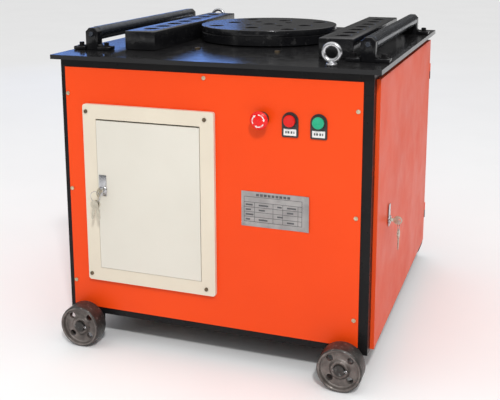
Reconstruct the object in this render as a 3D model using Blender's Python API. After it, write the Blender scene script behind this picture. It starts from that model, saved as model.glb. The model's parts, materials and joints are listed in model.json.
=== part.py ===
"""Rebar bender: steel table on a panelled angle-iron frame, with a worm-driven bending disc.

Metres, +Z up. The origin is on the floor under the middle of the machine, the control
panel faces -Y and the left and right sides are -X and +X. Every named object is one
separate solid. A moving piece has its origin on its joint's axis.
"""
from math import atan2, cos, degrees, hypot, pi, radians, sin, sqrt

import bmesh
import bpy
from mathutils import Matrix, Vector

GAP = 0.0003                     # clearance between pieces that touch

# Table
TABLE_WIDTH = 0.760
TABLE_DEPTH = 0.796
TABLE_THICKNESS = 0.010
TABLE_TOP = 0.689                # height of the working surface
TABLE_BORE_RADIUS = 0.080        # clears the flange of the main shaft

# Angle-iron frame
SIDE_OVERHANG = 0.0175           # table edge beyond the frame's side
FRONT_OVERHANG = 0.0165          # table edge beyond the frame's front and rear
AXLE_DROP = 0.017428             # axles below the bottom of the frame
ANGLE_LEG = 0.045
ANGLE_WALL = 0.005
CROSSBAR_WIDTH = 0.050           # flat bars that carry the motor
CROSSBAR_SPACING = 0.110

# Sheet panels and side doors
SHEET = 0.002
PANEL_LEFT_INSET = 0.0115        # front panel edge from the frame's left edge
PANEL_RIGHT_INSET = 0.021
PANEL_TOP_DROP = 0.018           # panel edge below the table's underside
PANEL_BOTTOM_RISE = 0.016        # panel edge above the frame's bottom
DOOR_DEPTH = 0.0087              # folded tray depth of a side door
DOOR_FRONT_INSET = 0.0245
DOOR_REAR_INSET = 0.0095
DOOR_TOP_DROP = 0.015
DOOR_BOTTOM_RISE = 0.005
DOOR_HINGE_RADIUS = 0.005
DOOR_HINGE_PIN_RADIUS = 0.0025
DOOR_HINGE_HALF_LENGTH = 0.022
DOOR_HINGE_END_DISTANCE = 0.090  # hinge joint from the door's upper and lower edges
DOOR_LOCK_FROM_EDGE = 0.132      # lock axis behind the door's front edge
DOOR_LOCK_HEIGHT = 0.325
DOOR_TONGUE_LENGTH = 0.128       # reaches behind the front post when turned
DOOR_TONGUE_WIDTH = 0.020

# Keyed locks of the doors
LOCK_BARREL = 0.0080             # radius of a lock's barrel
LOCK_ROSE = 0.0110               # radius of the ring outside the sheet
LOCK_ROSE_HEIGHT = 0.0030
KEY_BOW_RADIUS = 0.0110
KEY_THICKNESS = 0.0022
KEY_SHANK = 0.0060
KEY_EYE = 0.0030

# Electrical box behind the front panel
BOX_WIDTH = 0.322                # outer size of the raised flange
BOX_HEIGHT = 0.4225
BOX_LEFT = 0.0585                # flange edge from the frame's left edge
BOX_TOP_DROP = 0.100             # flange edge below the table's underside
BOX_FLANGE = 0.0097              # flange thickness, proud of the panel
BOX_DEPTH = 0.150                # from the panel to the back of the box
BOX_WALL = 0.0015
BOX_REBATE = 0.0165              # flange edge to the side of the tray behind it
BOX_DOOR_MARGIN_X = 0.034        # flange edge to the door
BOX_DOOR_MARGIN_Z = 0.033
BOX_DOOR_GAP = 0.0012
BOX_DOOR_TOP_GAP = 0.0035
BOX_DOOR_DEPTH = 0.0080
BOX_DOOR_PROUD = 0.0010          # door face in front of the flange
BOX_LOCK_FROM_EDGE = 0.0130      # lock axis from the door's free edge
BOX_LOCK_RISE = 0.190            # lock axis above the door's lower edge
MOUNTING_PLATE_STANDOFF = 0.012
CONTACTOR = (0.045, 0.080, 0.085)
TRANSFORMER = (0.084, 0.070, 0.075)

# Push-buttons on the panel
BUTTON_ROW_DROP = 0.107          # row below the table's underside
BUTTON_FIRST_X = 0.126
BUTTON_PITCH = 0.062
BUTTON_BARREL_RADIUS = 0.011
BUTTON_BARREL_LENGTH = 0.045
BUTTON_TRAVEL = 0.0040
HOLDER_WIDTH = 0.036
HOLDER_DROP = 0.036              # holder plate below the button's axis
HOLDER_THICKNESS = 0.003
HOLDER_RING_RADIUS = 0.0150
HOLDER_RING_HEIGHT = 0.008
CAP_RADIUS = 0.0128
CAP_HEIGHT = 0.0125              # cap face in front of the panel
MUSHROOM_RADIUS = 0.0200
MUSHROOM_HEIGHT = 0.030
MUSHROOM_THICKNESS = 0.014
COLLAR_RADIUS = 0.0160
COLLAR_HEIGHT = 0.010
STEM_RADIUS = 0.0060

# Data plate
PLATE_WIDTH = 0.153
PLATE_HEIGHT = 0.079
PLATE_THICKNESS = 0.001
PLATE_LEFT = 0.078
PLATE_DROP = 0.270               # upper edge below the table's underside

# Bending disc
DISC_CENTRE_Y = 0.0415
DISC_RADIUS = 0.1745
DISC_THICKNESS = 0.0383
DISC_LIFT = 0.0020               # disc above the table
PIN_HOLE_RADIUS = 0.0180
INNER_PIN_CIRCLE = 0.100
INNER_PIN_TURN = -7.0            # degrees
OUTER_PIN_CIRCLE = 0.140
OUTER_PIN_TURN = 37.0
DISC_BOLT_CIRCLE = 0.058
DISC_BOLT_TURN = 46.0
DISC_BOLT_RADIUS = 0.0090

# Main shaft and worm gear
SHAFT_RADIUS = 0.0275
SHAFT_FLANGE_RADIUS = 0.0750
BEARING_WALL = 0.0180            # outer minus inner radius of a main bearing
BEARING_WIDTH = 0.0150
GEAR_MODULE = 0.004
WHEEL_TEETH = 50
WORM_PITCH_RADIUS = 0.025
WHEEL_WIDTH = 0.024
WHEEL_HUB_RADIUS = 0.045
WHEEL_HUB_LENGTH = 0.060
WORM_HEIGHT = 0.525
WORM_LENGTH = 0.084
WORM_SHAFT_RADIUS = 0.0125
WORM_BEARING_OUTER = 0.0310

# Gearbox
GEARBOX_WALL = 0.012
GEARBOX_HALF_WIDTH = 0.120
GEARBOX_FRONT = 0.118            # housing in front of the disc's axis
GEARBOX_BEHIND_WORM = 0.043      # housing behind the worm's axis
GEARBOX_BELOW_WORM = 0.090       # housing's underside below the worm's axis
GEARBOX_FLOOR = 0.026
GEARBOX_FLANGE = 0.020
LID_THICKNESS = 0.016
LID_MARGIN = 0.030

# Belt drive
PULLEY_X = -0.215                # middle of both pulleys
MOTOR_PULLEY_RADIUS = 0.0450     # pitch radii
DRIVEN_PULLEY_RADIUS = 0.1260
PULLEY_WIDTH = 0.036
GROOVE_PITCH = 0.015
GROOVE_TOP = 0.0130
GROOVE_BOTTOM = 0.0080
GROOVE_DEPTH = 0.0120
GROOVE_ABOVE_PITCH = 0.0033
BELT_TOP = 0.0116
BELT_BOTTOM = 0.0080
BELT_HEIGHT = 0.0075

# Motor
MOTOR_Y = 0.060
MOTOR_AXIS_HEIGHT = 0.100        # above its feet
MOTOR_RADIUS = 0.0960
MOTOR_HALF_LENGTH = 0.125
MOTOR_BORE = 0.0620
ROTOR_RADIUS = 0.0600
ROTOR_HALF_LENGTH = 0.070
MOTOR_SHAFT_RADIUS = 0.0140
FAN_COVER_LENGTH = 0.070
MOTOR_FOOT_WIDTH = 0.160
MOTOR_FOOT_LENGTH = 0.170

# Hole bars beside the disc
BAR_WIDTH = 0.0780
BAR_LENGTH = 0.5320
BAR_HEIGHT = 0.0445
BAR_LEFT_X = -0.2180
BAR_RIGHT_X = 0.2540
BAR_HOLES = 7
BAR_HOLE_PITCH = 0.0670

# Support rollers outside the bars
ROLLER_X = 0.3300                # both rollers from the middle of the table
ROLLER_RADIUS = 0.0165
ROLLER_LENGTH = 0.5450           # its brackets stand just beyond the bar's ends
ROLLER_HEIGHT = 0.0375
JOURNAL_RADIUS = 0.0060
BRACKET_THICKNESS = 0.0220
BRACKET_WIDTH = 0.0320
BRACKET_TOP = 0.0525
BRACKET_CHAMFER = 0.0090         # cut corners at the top of an upright
BRACKET_FOOT_WIDTH = 0.0940
BRACKET_FOOT_DEPTH = 0.0300
BRACKET_FOOT_THICKNESS = 0.0080

# Lifting eyes
EYE_X = 0.2710
EYE_Y = 0.3710
EYE_RING_RADIUS = 0.0172         # middle of the bar
EYE_BAR_RADIUS = 0.0050
EYE_HEIGHT = 0.0275
EYE_COLLAR_RADIUS = 0.0120
EYE_COLLAR_HEIGHT = 0.0060

# Running wheels
WHEEL_RADIUS = 0.0500
TYRE_WIDTH = 0.0420
WHEEL_TRACK = 0.6260             # distance between the two axles
WHEEL_STANDOFF = 0.0120          # wheel in front of the frame
WHEEL_RIM = 0.0070
WHEEL_WEB = 0.0080
WHEEL_WEB_RECESS = 0.0100
WHEEL_HUB = 0.0200
WHEEL_WINDOW_RADIUS = 0.0075
WHEEL_WINDOW_CIRCLE = 0.0315
WHEEL_FACETS = 24                # a wheel stands on one of its flats
AXLE_RADIUS = 0.0120
AXLE_CLEARANCE = 0.0005
AXLE_COLLAR = 0.0180
AXLE_END = 0.0005                # axle end inside the wheel's face
SADDLE_LENGTH = 0.040

# Cable gland
GLAND_X = -0.200
GLAND_HEIGHT = 0.160
GLAND_RADIUS = 0.0125

# Sizes that follow from the ones above
TABLE_BOTTOM = TABLE_TOP - TABLE_THICKNESS
AXLE_Z = WHEEL_RADIUS * cos(pi / WHEEL_FACETS)
FRAME_BOTTOM = AXLE_Z + AXLE_DROP
FRAME_TOP = TABLE_BOTTOM - GAP
FRAME_X = TABLE_WIDTH / 2 - SIDE_OVERHANG
FRAME_Y = TABLE_DEPTH / 2 - FRONT_OVERHANG
PANEL_BACK = -FRAME_Y - GAP
PANEL_FRONT = PANEL_BACK - SHEET
DISC_BOTTOM = TABLE_TOP + DISC_LIFT
WHEEL_PITCH_RADIUS = GEAR_MODULE * WHEEL_TEETH / 2
WORM_Y = DISC_CENTRE_Y + WHEEL_PITCH_RADIUS + WORM_PITCH_RADIUS
GEARBOX_BOTTOM = WORM_HEIGHT - GEARBOX_BELOW_WORM
LID_BOTTOM = FRAME_TOP - LID_THICKNESS
HOUSING_TOP = LID_BOTTOM - GAP
MOTOR_FLOOR = FRAME_BOTTOM + ANGLE_WALL + GAP
MOTOR_Z = MOTOR_FLOOR + MOTOR_AXIS_HEIGHT
WHEEL_INNER_Y = FRAME_Y + WHEEL_STANDOFF
WHEEL_OUTER_Y = WHEEL_INNER_Y + TYRE_WIDTH
DOOR_INNER_X = FRAME_X + GAP
DOOR_OUTER_X = DOOR_INNER_X + DOOR_DEPTH
DOOR_FRONT_Y = -FRAME_Y + DOOR_FRONT_INSET
DOOR_REAR_Y = FRAME_Y - DOOR_REAR_INSET
DOOR_BOTTOM = FRAME_BOTTOM + DOOR_BOTTOM_RISE
DOOR_TOP = TABLE_BOTTOM - DOOR_TOP_DROP
DOOR_HINGE_X = DOOR_INNER_X + DOOR_HINGE_RADIUS
DOOR_HINGE_Y = DOOR_REAR_Y + DOOR_HINGE_RADIUS + 0.001
DOOR_LOCK_Y = DOOR_FRONT_Y + DOOR_LOCK_FROM_EDGE
BOX_X0 = -FRAME_X + BOX_LEFT
BOX_X1 = BOX_X0 + BOX_WIDTH
BOX_Z1 = TABLE_BOTTOM - BOX_TOP_DROP
BOX_Z0 = BOX_Z1 - BOX_HEIGHT
BOX_FRONT = PANEL_FRONT - GAP - BOX_FLANGE
BOX_BACK = PANEL_FRONT + BOX_DEPTH
BUTTON_Z = TABLE_BOTTOM - BUTTON_ROW_DROP


# ---------------------------------------------------------------- materials

def material(name, colour, roughness, metallic):
    """Principled material with one colour and finish."""
    made = bpy.data.materials.new(name)
    made.use_nodes = True
    shader = made.node_tree.nodes["Principled BSDF"]
    shader.inputs["Base Color"].default_value = (*colour, 1.0)
    shader.inputs["Roughness"].default_value = roughness
    shader.inputs["Metallic"].default_value = metallic
    made.diffuse_color = (*colour, 1.0)
    return made


FINISHES = {
    "black_paint": ((0.012, 0.012, 0.014), 0.25, 0.0),
    "orange_paint": ((0.95, 0.12, 0.025), 0.35, 0.0),
    "cream_paint": ((0.78, 0.72, 0.60), 0.40, 0.0),
    "machined_steel": ((0.45, 0.45, 0.47), 0.30, 1.0),
    "dark_steel": ((0.08, 0.08, 0.09), 0.35, 1.0),
    "cast_iron": ((0.16, 0.14, 0.13), 0.60, 0.8),
    "bright_zinc": ((0.75, 0.75, 0.75), 0.25, 1.0),
    "black_plastic": ((0.02, 0.02, 0.02), 0.45, 0.0),
    "red_plastic": ((0.75, 0.02, 0.02), 0.35, 0.0),
    "green_plastic": ((0.03, 0.50, 0.28), 0.35, 0.0),
    "aluminium": ((0.72, 0.72, 0.72), 0.40, 0.9),
    "bronze": ((0.55, 0.35, 0.12), 0.35, 1.0),
    "belt_rubber": ((0.02, 0.02, 0.02), 0.80, 0.0),
    "motor_paint": ((0.10, 0.20, 0.32), 0.45, 0.0),
    "grey_paint": ((0.25, 0.27, 0.28), 0.50, 0.0),
}


# ---------------------------------------------------------------- shape tools

def along(axis, u, v, w):
    """Point with w along the named axis and u, v across it, right-handed."""
    return {"Z": (u, v, w), "X": (w, u, v), "Y": (v, w, u)}[axis]


def add_box(bm, low, high):
    """Box between two opposite corners."""
    corners = [bm.verts.new((x, y, z)) for x in (low[0], high[0])
               for y in (low[1], high[1]) for z in (low[2], high[2])]
    for face in ((0, 1, 3, 2), (4, 6, 7, 5), (0, 4, 5, 1), (2, 3, 7, 6), (0, 2, 6, 4), (1, 5, 7, 3)):
        bm.faces.new([corners[i] for i in face])


def add_prism(bm, outline, axis, low, high):
    """Straight extrusion of an outline along an axis."""
    lower = [bm.verts.new(along(axis, u, v, low)) for u, v in outline]
    upper = [bm.verts.new(along(axis, u, v, high)) for u, v in outline]
    bm.faces.new(lower[::-1])
    bm.faces.new(upper)
    for i in range(len(outline)):
        j = (i + 1) % len(outline)
        bm.faces.new((lower[i], lower[j], upper[j], upper[i]))


def add_turned(bm, profile, axis, centre, segments, closed=False, flat_down=False):
    """Turned solid: (radius, height) points revolved round an axis through centre."""
    start = pi / segments if flat_down else 0.0
    rings = []
    for radius, height in profile:
        turns = [0] if radius == 0 else range(segments)
        ring = []
        for i in turns:
            a = start + 2 * pi * i / segments
            point = Vector(along(axis, radius * cos(a), radius * sin(a), height)) + Vector(centre)
            ring.append(bm.verts.new(point))
        rings.append(ring)
    pairs = list(zip(rings, rings[1:]))
    if closed:
        pairs.append((rings[-1], rings[0]))
    for first, second in pairs:
        for i in range(segments):
            j = (i + 1) % segments
            corners = [first[i % len(first)], first[j % len(first)],
                       second[j % len(second)], second[i % len(second)]]
            unique = list(dict.fromkeys(corners))
            if len(unique) > 2:
                bm.faces.new(unique)


def arc(centre, radius, start, end, steps):
    """Points on an arc between two angles in degrees."""
    span = radians(end - start)
    return [(centre[0] + radius * cos(radians(start) + span * i / steps),
             centre[1] + radius * sin(radians(start) + span * i / steps)) for i in range(steps + 1)]


def rounded_rectangle(x0, z0, x1, z1, radius, steps=3):
    """Rectangle outline with round corners."""
    return (arc((x1 - radius, z1 - radius), radius, 0, 90, steps)
            + arc((x0 + radius, z1 - radius), radius, 90, 180, steps)
            + arc((x0 + radius, z0 + radius), radius, 180, 270, steps)
            + arc((x1 - radius, z0 + radius), radius, 270, 360, steps))


def finish_mesh(bm, name):
    """Mesh from a bmesh, with its faces turned outwards."""
    bmesh.ops.recalc_face_normals(bm, faces=bm.faces)
    mesh = bpy.data.meshes.new(name)
    bm.to_mesh(mesh)
    bm.free()
    return mesh


def shape(build, *args, **kwargs):
    """Temporary object made by one of the add_ functions."""
    bm = bmesh.new()
    build(bm, *args, **kwargs)
    made = bpy.data.objects.new("shape", finish_mesh(bm, "shape"))
    bpy.context.collection.objects.link(made)
    return made


def box(low, high):
    return shape(add_box, low, high)


def prism(outline, axis, low, high):
    return shape(add_prism, outline, axis, low, high)


def turned(profile, axis="Z", centre=(0, 0, 0), segments=24, closed=False, flat_down=False):
    return shape(add_turned, profile, axis, centre, segments, closed, flat_down)


def rod(radius, axis, start, end, centre=(0, 0, 0), segments=16):
    """Plain cylinder between two heights on an axis through centre."""
    profile = [(0, start), (radius, start), (radius, end), (0, end)]
    return turned(profile, axis, centre, segments)


def combine(target, tools, operation):
    """Apply one Boolean after another and delete the tools."""
    for tool in tools:
        step = target.modifiers.new("step", "BOOLEAN")
        step.operation = operation
        step.solver = "EXACT"
        step.object = tool
        graph = bpy.context.evaluated_depsgraph_get()
        mesh = bpy.data.meshes.new_from_object(target.evaluated_get(graph))
        target.modifiers.clear()
        target.data = mesh
        bpy.data.objects.remove(tool)
    return target


def cut(target, *tools):
    return combine(target, tools, "DIFFERENCE")


def join(target, *tools):
    return combine(target, tools, "UNION")


def name_part(made, name, finish, pivot=(0, 0, 0), smooth=False):
    """Give a finished shape its name, its finish and its origin on the joint's axis."""
    made.name = name
    made.data.name = name
    made.data.transform(Matrix.Translation(-Vector(pivot)))
    made.location = pivot
    made.data.materials.clear()
    made.data.materials.append(material(f"{name}_{finish}", *FINISHES[finish]))
    if smooth:
        made.data.shade_smooth()
        made.data.set_sharp_from_angle(angle=radians(35))
    return made


# ---------------------------------------------------------------- table and frame

def build_table():
    plate = box((-TABLE_WIDTH / 2, -TABLE_DEPTH / 2, TABLE_BOTTOM),
                (TABLE_WIDTH / 2, TABLE_DEPTH / 2, TABLE_TOP))
    bore = rod(TABLE_BORE_RADIUS, "Z", TABLE_BOTTOM - 0.01, TABLE_TOP + 0.01, (0, DISC_CENTRE_Y, 0), 32)
    name_part(cut(plate, bore), "table_plate", "black_paint")


def build_top_frame():
    """Ring of angle iron under the table, flat leg uppermost."""
    ring = box((-FRAME_X, -FRAME_Y, FRAME_TOP - ANGLE_LEG), (FRAME_X, FRAME_Y, FRAME_TOP))
    wide = (FRAME_X - ANGLE_WALL, FRAME_Y - ANGLE_WALL)
    narrow = (FRAME_X - ANGLE_LEG, FRAME_Y - ANGLE_LEG)
    below = box((-wide[0], -wide[1], FRAME_TOP - ANGLE_LEG - 0.01), (*wide, FRAME_TOP - ANGLE_WALL))
    through = box((-narrow[0], -narrow[1], FRAME_TOP - ANGLE_LEG - 0.02), (*narrow, FRAME_TOP + 0.01))
    name_part(cut(ring, below, through), "top_frame", "black_paint")


def build_bottom_frame():
    """Ring of angle iron with two crossbars under the motor and saddles for the axles."""
    ring = box((-FRAME_X, -FRAME_Y, FRAME_BOTTOM), (FRAME_X, FRAME_Y, FRAME_BOTTOM + ANGLE_LEG))
    wide = (FRAME_X - ANGLE_WALL, FRAME_Y - ANGLE_WALL)
    above = box((-wide[0], -wide[1], FRAME_BOTTOM + ANGLE_WALL), (*wide, FRAME_BOTTOM + ANGLE_LEG + 0.01))
    outer = CROSSBAR_SPACING / 2 + CROSSBAR_WIDTH / 2
    inner = CROSSBAR_SPACING / 2 - CROSSBAR_WIDTH / 2
    edge_x = FRAME_X - ANGLE_LEG
    edge_y = FRAME_Y - ANGLE_LEG
    windows = [box((x0, -edge_y, FRAME_BOTTOM - 0.01), (x1, edge_y, FRAME_BOTTOM + ANGLE_WALL + 0.01))
               for x0, x1 in ((-edge_x, -outer), (-inner, inner), (outer, edge_x))]
    cut(ring, above, *windows)
    saddles = []
    for x in (-WHEEL_TRACK / 2, WHEEL_TRACK / 2):
        for side in (-1, 1):
            ends = sorted((side * FRAME_Y, side * (FRAME_Y - SADDLE_LENGTH)))
            saddle = box((x - AXLE_COLLAR, ends[0], AXLE_Z - AXLE_COLLAR + 0.002),
                         (x + AXLE_COLLAR, ends[1], FRAME_BOTTOM + 0.001))
            bore = rod(AXLE_RADIUS + GAP, "Y", ends[0] - 0.01, ends[1] + 0.01, (x, 0, AXLE_Z), 12)
            saddles.append(cut(saddle, bore))
    name_part(join(ring, *saddles), "bottom_frame", "black_paint")


def post_outline(side_x, side_y):
    """Angle-iron section with its heel at a corner of the frame."""
    x, y = side_x * FRAME_X, side_y * FRAME_Y
    leg_x, leg_y = -side_x * ANGLE_LEG, -side_y * ANGLE_LEG
    wall_x, wall_y = -side_x * ANGLE_WALL, -side_y * ANGLE_WALL
    outline = [(x, y), (x + leg_x, y), (x + leg_x, y + wall_y), (x + wall_x, y + wall_y),
               (x + wall_x, y + leg_y), (x, y + leg_y)]
    return outline if side_x * side_y > 0 else outline[::-1]


def hinge_heights():
    """Height of the joint face of the lower and upper hinge of a side door."""
    return DOOR_BOTTOM + DOOR_HINGE_END_DISTANCE, DOOR_TOP - DOOR_HINGE_END_DISTANCE


def build_posts():
    """Four corner posts. The rear ones carry the lower halves of the lift-off hinges."""
    low = FRAME_BOTTOM + ANGLE_LEG + GAP
    high = FRAME_TOP - ANGLE_LEG - GAP
    for side_y, end in ((-1, "front"), (1, "rear")):
        for side_x, side in ((-1, "left"), (1, "right")):
            post = prism(post_outline(side_x, side_y), "Z", low, high)
            if end == "rear":
                x = side_x * DOOR_HINGE_X
                for height in hinge_heights():
                    bottom = height - DOOR_HINGE_HALF_LENGTH
                    barrel = [(0, bottom), (DOOR_HINGE_RADIUS, bottom), (DOOR_HINGE_RADIUS, height),
                              (DOOR_HINGE_PIN_RADIUS, height),
                              (DOOR_HINGE_PIN_RADIUS, height + DOOR_HINGE_HALF_LENGTH - 0.003),
                              (0, height + DOOR_HINGE_HALF_LENGTH - 0.003)]
                    lug = sorted((side_x * (FRAME_X - 0.001), side_x * (DOOR_HINGE_X + 0.001)))
                    join(post, turned(barrel, "Z", (x, DOOR_HINGE_Y, 0), 12),
                         box((lug[0], DOOR_HINGE_Y - 0.003, bottom + 0.001),
                             (lug[1], DOOR_HINGE_Y + 0.003, height - 0.001)))
            name_part(post, f"post_{end}_{side}", "black_paint")


# ---------------------------------------------------------------- panels and doors

def build_front_panel():
    panel = box((-FRAME_X + PANEL_LEFT_INSET, PANEL_FRONT, FRAME_BOTTOM + PANEL_BOTTOM_RISE),
                (FRAME_X - PANEL_RIGHT_INSET, PANEL_BACK, TABLE_BOTTOM - PANEL_TOP_DROP))
    tray = box((BOX_X0 + BOX_REBATE - GAP, PANEL_FRONT - 0.01, BOX_Z0 + BOX_REBATE - GAP),
               (BOX_X1 - BOX_REBATE + GAP, PANEL_BACK + 0.01, BOX_Z1 - BOX_REBATE + GAP))
    holes = [rod(BUTTON_BARREL_RADIUS + GAP, "Y", PANEL_FRONT - 0.01, PANEL_BACK + 0.01,
                 (x, 0, BUTTON_Z), 16)
             for x in button_places()]
    name_part(cut(panel, tray, *holes), "front_panel", "orange_paint")


def build_rear_panel():
    panel = box((-FRAME_X + PANEL_LEFT_INSET, FRAME_Y + GAP, FRAME_BOTTOM + PANEL_BOTTOM_RISE),
                (FRAME_X - PANEL_LEFT_INSET, FRAME_Y + GAP + SHEET, TABLE_BOTTOM - PANEL_TOP_DROP))
    hole = rod(GLAND_RADIUS + GAP, "Y", FRAME_Y - 0.01, FRAME_Y + 0.02, (GLAND_X, 0, GLAND_HEIGHT), 12)
    name_part(cut(panel, hole), "rear_panel", "orange_paint")


def build_side_door(side, name):
    """Folded tray with a hole for its lock and the upper halves of its hinges."""
    x_in, x_out = sorted((side * DOOR_INNER_X, side * DOOR_OUTER_X))
    tray = box((x_in, DOOR_FRONT_Y, DOOR_BOTTOM), (x_out, DOOR_REAR_Y, DOOR_TOP))
    hollow = sorted((side * (DOOR_INNER_X - 0.01), side * (DOOR_OUTER_X - SHEET)))
    cut(tray, box((hollow[0], DOOR_FRONT_Y + SHEET, DOOR_BOTTOM + SHEET),
                  (hollow[1], DOOR_REAR_Y - SHEET, DOOR_TOP - SHEET)))
    lock = sorted((side * (DOOR_INNER_X - 0.01), side * (DOOR_OUTER_X + 0.01)))
    cut(tray, rod(LOCK_BARREL + GAP, "X", lock[0], lock[1], (0, DOOR_LOCK_Y, DOOR_LOCK_HEIGHT), 16))
    for height in hinge_heights():
        bottom = height + GAP
        top = height + DOOR_HINGE_HALF_LENGTH
        lug = sorted((side * DOOR_HINGE_X - 0.0025, side * DOOR_HINGE_X + 0.0025))
        knuckle = join(rod(DOOR_HINGE_RADIUS, "Z", bottom, top, (side * DOOR_HINGE_X, DOOR_HINGE_Y, 0), 12),
                       box((lug[0], DOOR_REAR_Y - 0.001, bottom), (lug[1], DOOR_HINGE_Y, top)))
        cut(knuckle, rod(DOOR_HINGE_PIN_RADIUS + GAP, "Z", bottom - 0.01, top - 0.002,
                         (side * DOOR_HINGE_X, DOOR_HINGE_Y, 0), 12))
        join(tray, knuckle)
    name_part(tray, name, "orange_paint", (side * DOOR_HINGE_X, DOOR_HINGE_Y, 0))


def key_outline():
    """Key from its shank to its round bow, standing up from the lock's face."""
    shank = KEY_THICKNESS * 1.6
    centre = KEY_SHANK + KEY_BOW_RADIUS
    start = degrees(atan2(-sqrt(KEY_BOW_RADIUS ** 2 - shank ** 2), shank))
    return [(-shank, -0.001)] + [(shank, -0.001)] + arc((0, centre), KEY_BOW_RADIUS, start, 180 - start, 8)


def build_side_lock(side, name):
    """Barrel, key and the long tongue that turns behind the front post."""
    face = DOOR_OUTER_X + GAP
    tongue_x = FRAME_X - ANGLE_WALL - 0.002
    profile = [(0, tongue_x - 0.004), (LOCK_BARREL, tongue_x - 0.004), (LOCK_BARREL, face),
               (LOCK_ROSE, face), (LOCK_ROSE, face + LOCK_ROSE_HEIGHT), (0, face + LOCK_ROSE_HEIGHT)]
    centre = (0, DOOR_LOCK_Y, DOOR_LOCK_HEIGHT)
    lock = turned([(r, side * h) for r, h in profile], "X", centre, 16)
    tongue = sorted((side * tongue_x, side * (tongue_x - 0.003)))
    half = DOOR_TONGUE_WIDTH / 2
    blade = box((tongue[0], DOOR_LOCK_Y - half, DOOR_LOCK_HEIGHT - DOOR_TONGUE_LENGTH),
                (tongue[1], DOOR_LOCK_Y + half, DOOR_LOCK_HEIGHT + half))
    out = face + LOCK_ROSE_HEIGHT
    outline = [(side * (out + v), DOOR_LOCK_HEIGHT + u) for u, v in key_outline()]
    key = prism([(z, x) for x, z in outline], "Y", DOOR_LOCK_Y - KEY_THICKNESS / 2,
                DOOR_LOCK_Y + KEY_THICKNESS / 2)
    eye = rod(KEY_EYE, "Y", DOOR_LOCK_Y - 0.01, DOOR_LOCK_Y + 0.01,
              (side * (out + KEY_SHANK + KEY_BOW_RADIUS * 1.3), 0, DOOR_LOCK_HEIGHT), 6)
    name_part(join(lock, blade, cut(key, eye)), name, "bright_zinc", centre)


# ---------------------------------------------------------------- electrical box

def box_door_edges():
    """Left, right, lower and upper edge of the box door."""
    return (BOX_X0 + BOX_DOOR_MARGIN_X, BOX_X1 - BOX_DOOR_MARGIN_X,
            BOX_Z0 + BOX_DOOR_MARGIN_Z, BOX_Z1 - BOX_DOOR_MARGIN_Z - BOX_DOOR_TOP_GAP)


def build_control_box():
    """Raised flange with a tray behind it that stands through the front panel."""
    left, right, low, high = box_door_edges()
    flange = prism([(z, x) for x, z in rounded_rectangle(BOX_X0, BOX_Z0, BOX_X1, BOX_Z1, 0.006)],
                   "Y", BOX_FRONT, BOX_FRONT + BOX_FLANGE)
    tray = box((BOX_X0 + BOX_REBATE, BOX_FRONT + BOX_FLANGE / 2, BOX_Z0 + BOX_REBATE),
               (BOX_X1 - BOX_REBATE, BOX_BACK, BOX_Z1 - BOX_REBATE))
    join(flange, tray)
    inset = BOX_REBATE + BOX_WALL
    hollow = box((BOX_X0 + inset, BOX_FRONT + BOX_FLANGE, BOX_Z0 + inset),
                 (BOX_X1 - inset, BOX_BACK - BOX_WALL, BOX_Z1 - inset))
    mouth = box((left - BOX_DOOR_GAP, BOX_FRONT - 0.01, low - BOX_DOOR_GAP),
                (right + BOX_DOOR_GAP, BOX_FRONT + BOX_FLANGE + 0.01, high + BOX_DOOR_TOP_GAP))
    name_part(cut(flange, hollow, mouth), "control_box", "cream_paint")


def build_box_door():
    left, right, low, high = box_door_edges()
    face = BOX_FRONT - BOX_DOOR_PROUD
    door = box((left, face, low), (right, face + BOX_DOOR_DEPTH, high))
    hollow = box((left + SHEET, face + SHEET, low + SHEET), (right - SHEET, face + 0.03, high - SHEET))
    hole = rod(LOCK_BARREL * 0.75 + GAP, "Y", face - 0.01, face + 0.01,
               (left + BOX_LOCK_FROM_EDGE, 0, low + BOX_LOCK_RISE), 16)
    name_part(cut(door, hollow, hole), "control_box_door", "cream_paint", (right, face, 0))


def build_box_lock():
    """Lock barrel with its key and a short cam that turns behind the flange."""
    left, _, low, _ = box_door_edges()
    face = BOX_FRONT - BOX_DOOR_PROUD - GAP
    x, z = left + BOX_LOCK_FROM_EDGE, low + BOX_LOCK_RISE
    cam = BOX_FRONT + BOX_FLANGE + 0.0015
    barrel = LOCK_BARREL * 0.75
    profile = [(0, face - LOCK_ROSE_HEIGHT), (LOCK_BARREL, face - LOCK_ROSE_HEIGHT), (LOCK_BARREL, face),
               (barrel, face), (barrel, cam + 0.003), (0, cam + 0.003)]
    lock = turned(profile, "Y", (x, 0, z), 16)
    blade = box((x - 0.005, cam, z - BOX_LOCK_FROM_EDGE - 0.009), (x + 0.005, cam + 0.002, z + 0.006))
    out = face - LOCK_ROSE_HEIGHT
    key = prism([(out - v, z + u) for u, v in key_outline()][::-1], "X", x - KEY_THICKNESS / 2,
                x + KEY_THICKNESS / 2)
    eye = rod(KEY_EYE, "X", x - 0.01, x + 0.01, (0, out - KEY_SHANK - KEY_BOW_RADIUS * 1.3, z), 6)
    name_part(join(lock, blade, cut(key, eye)), "control_box_lock", "bright_zinc", (x, 0, z))


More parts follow.
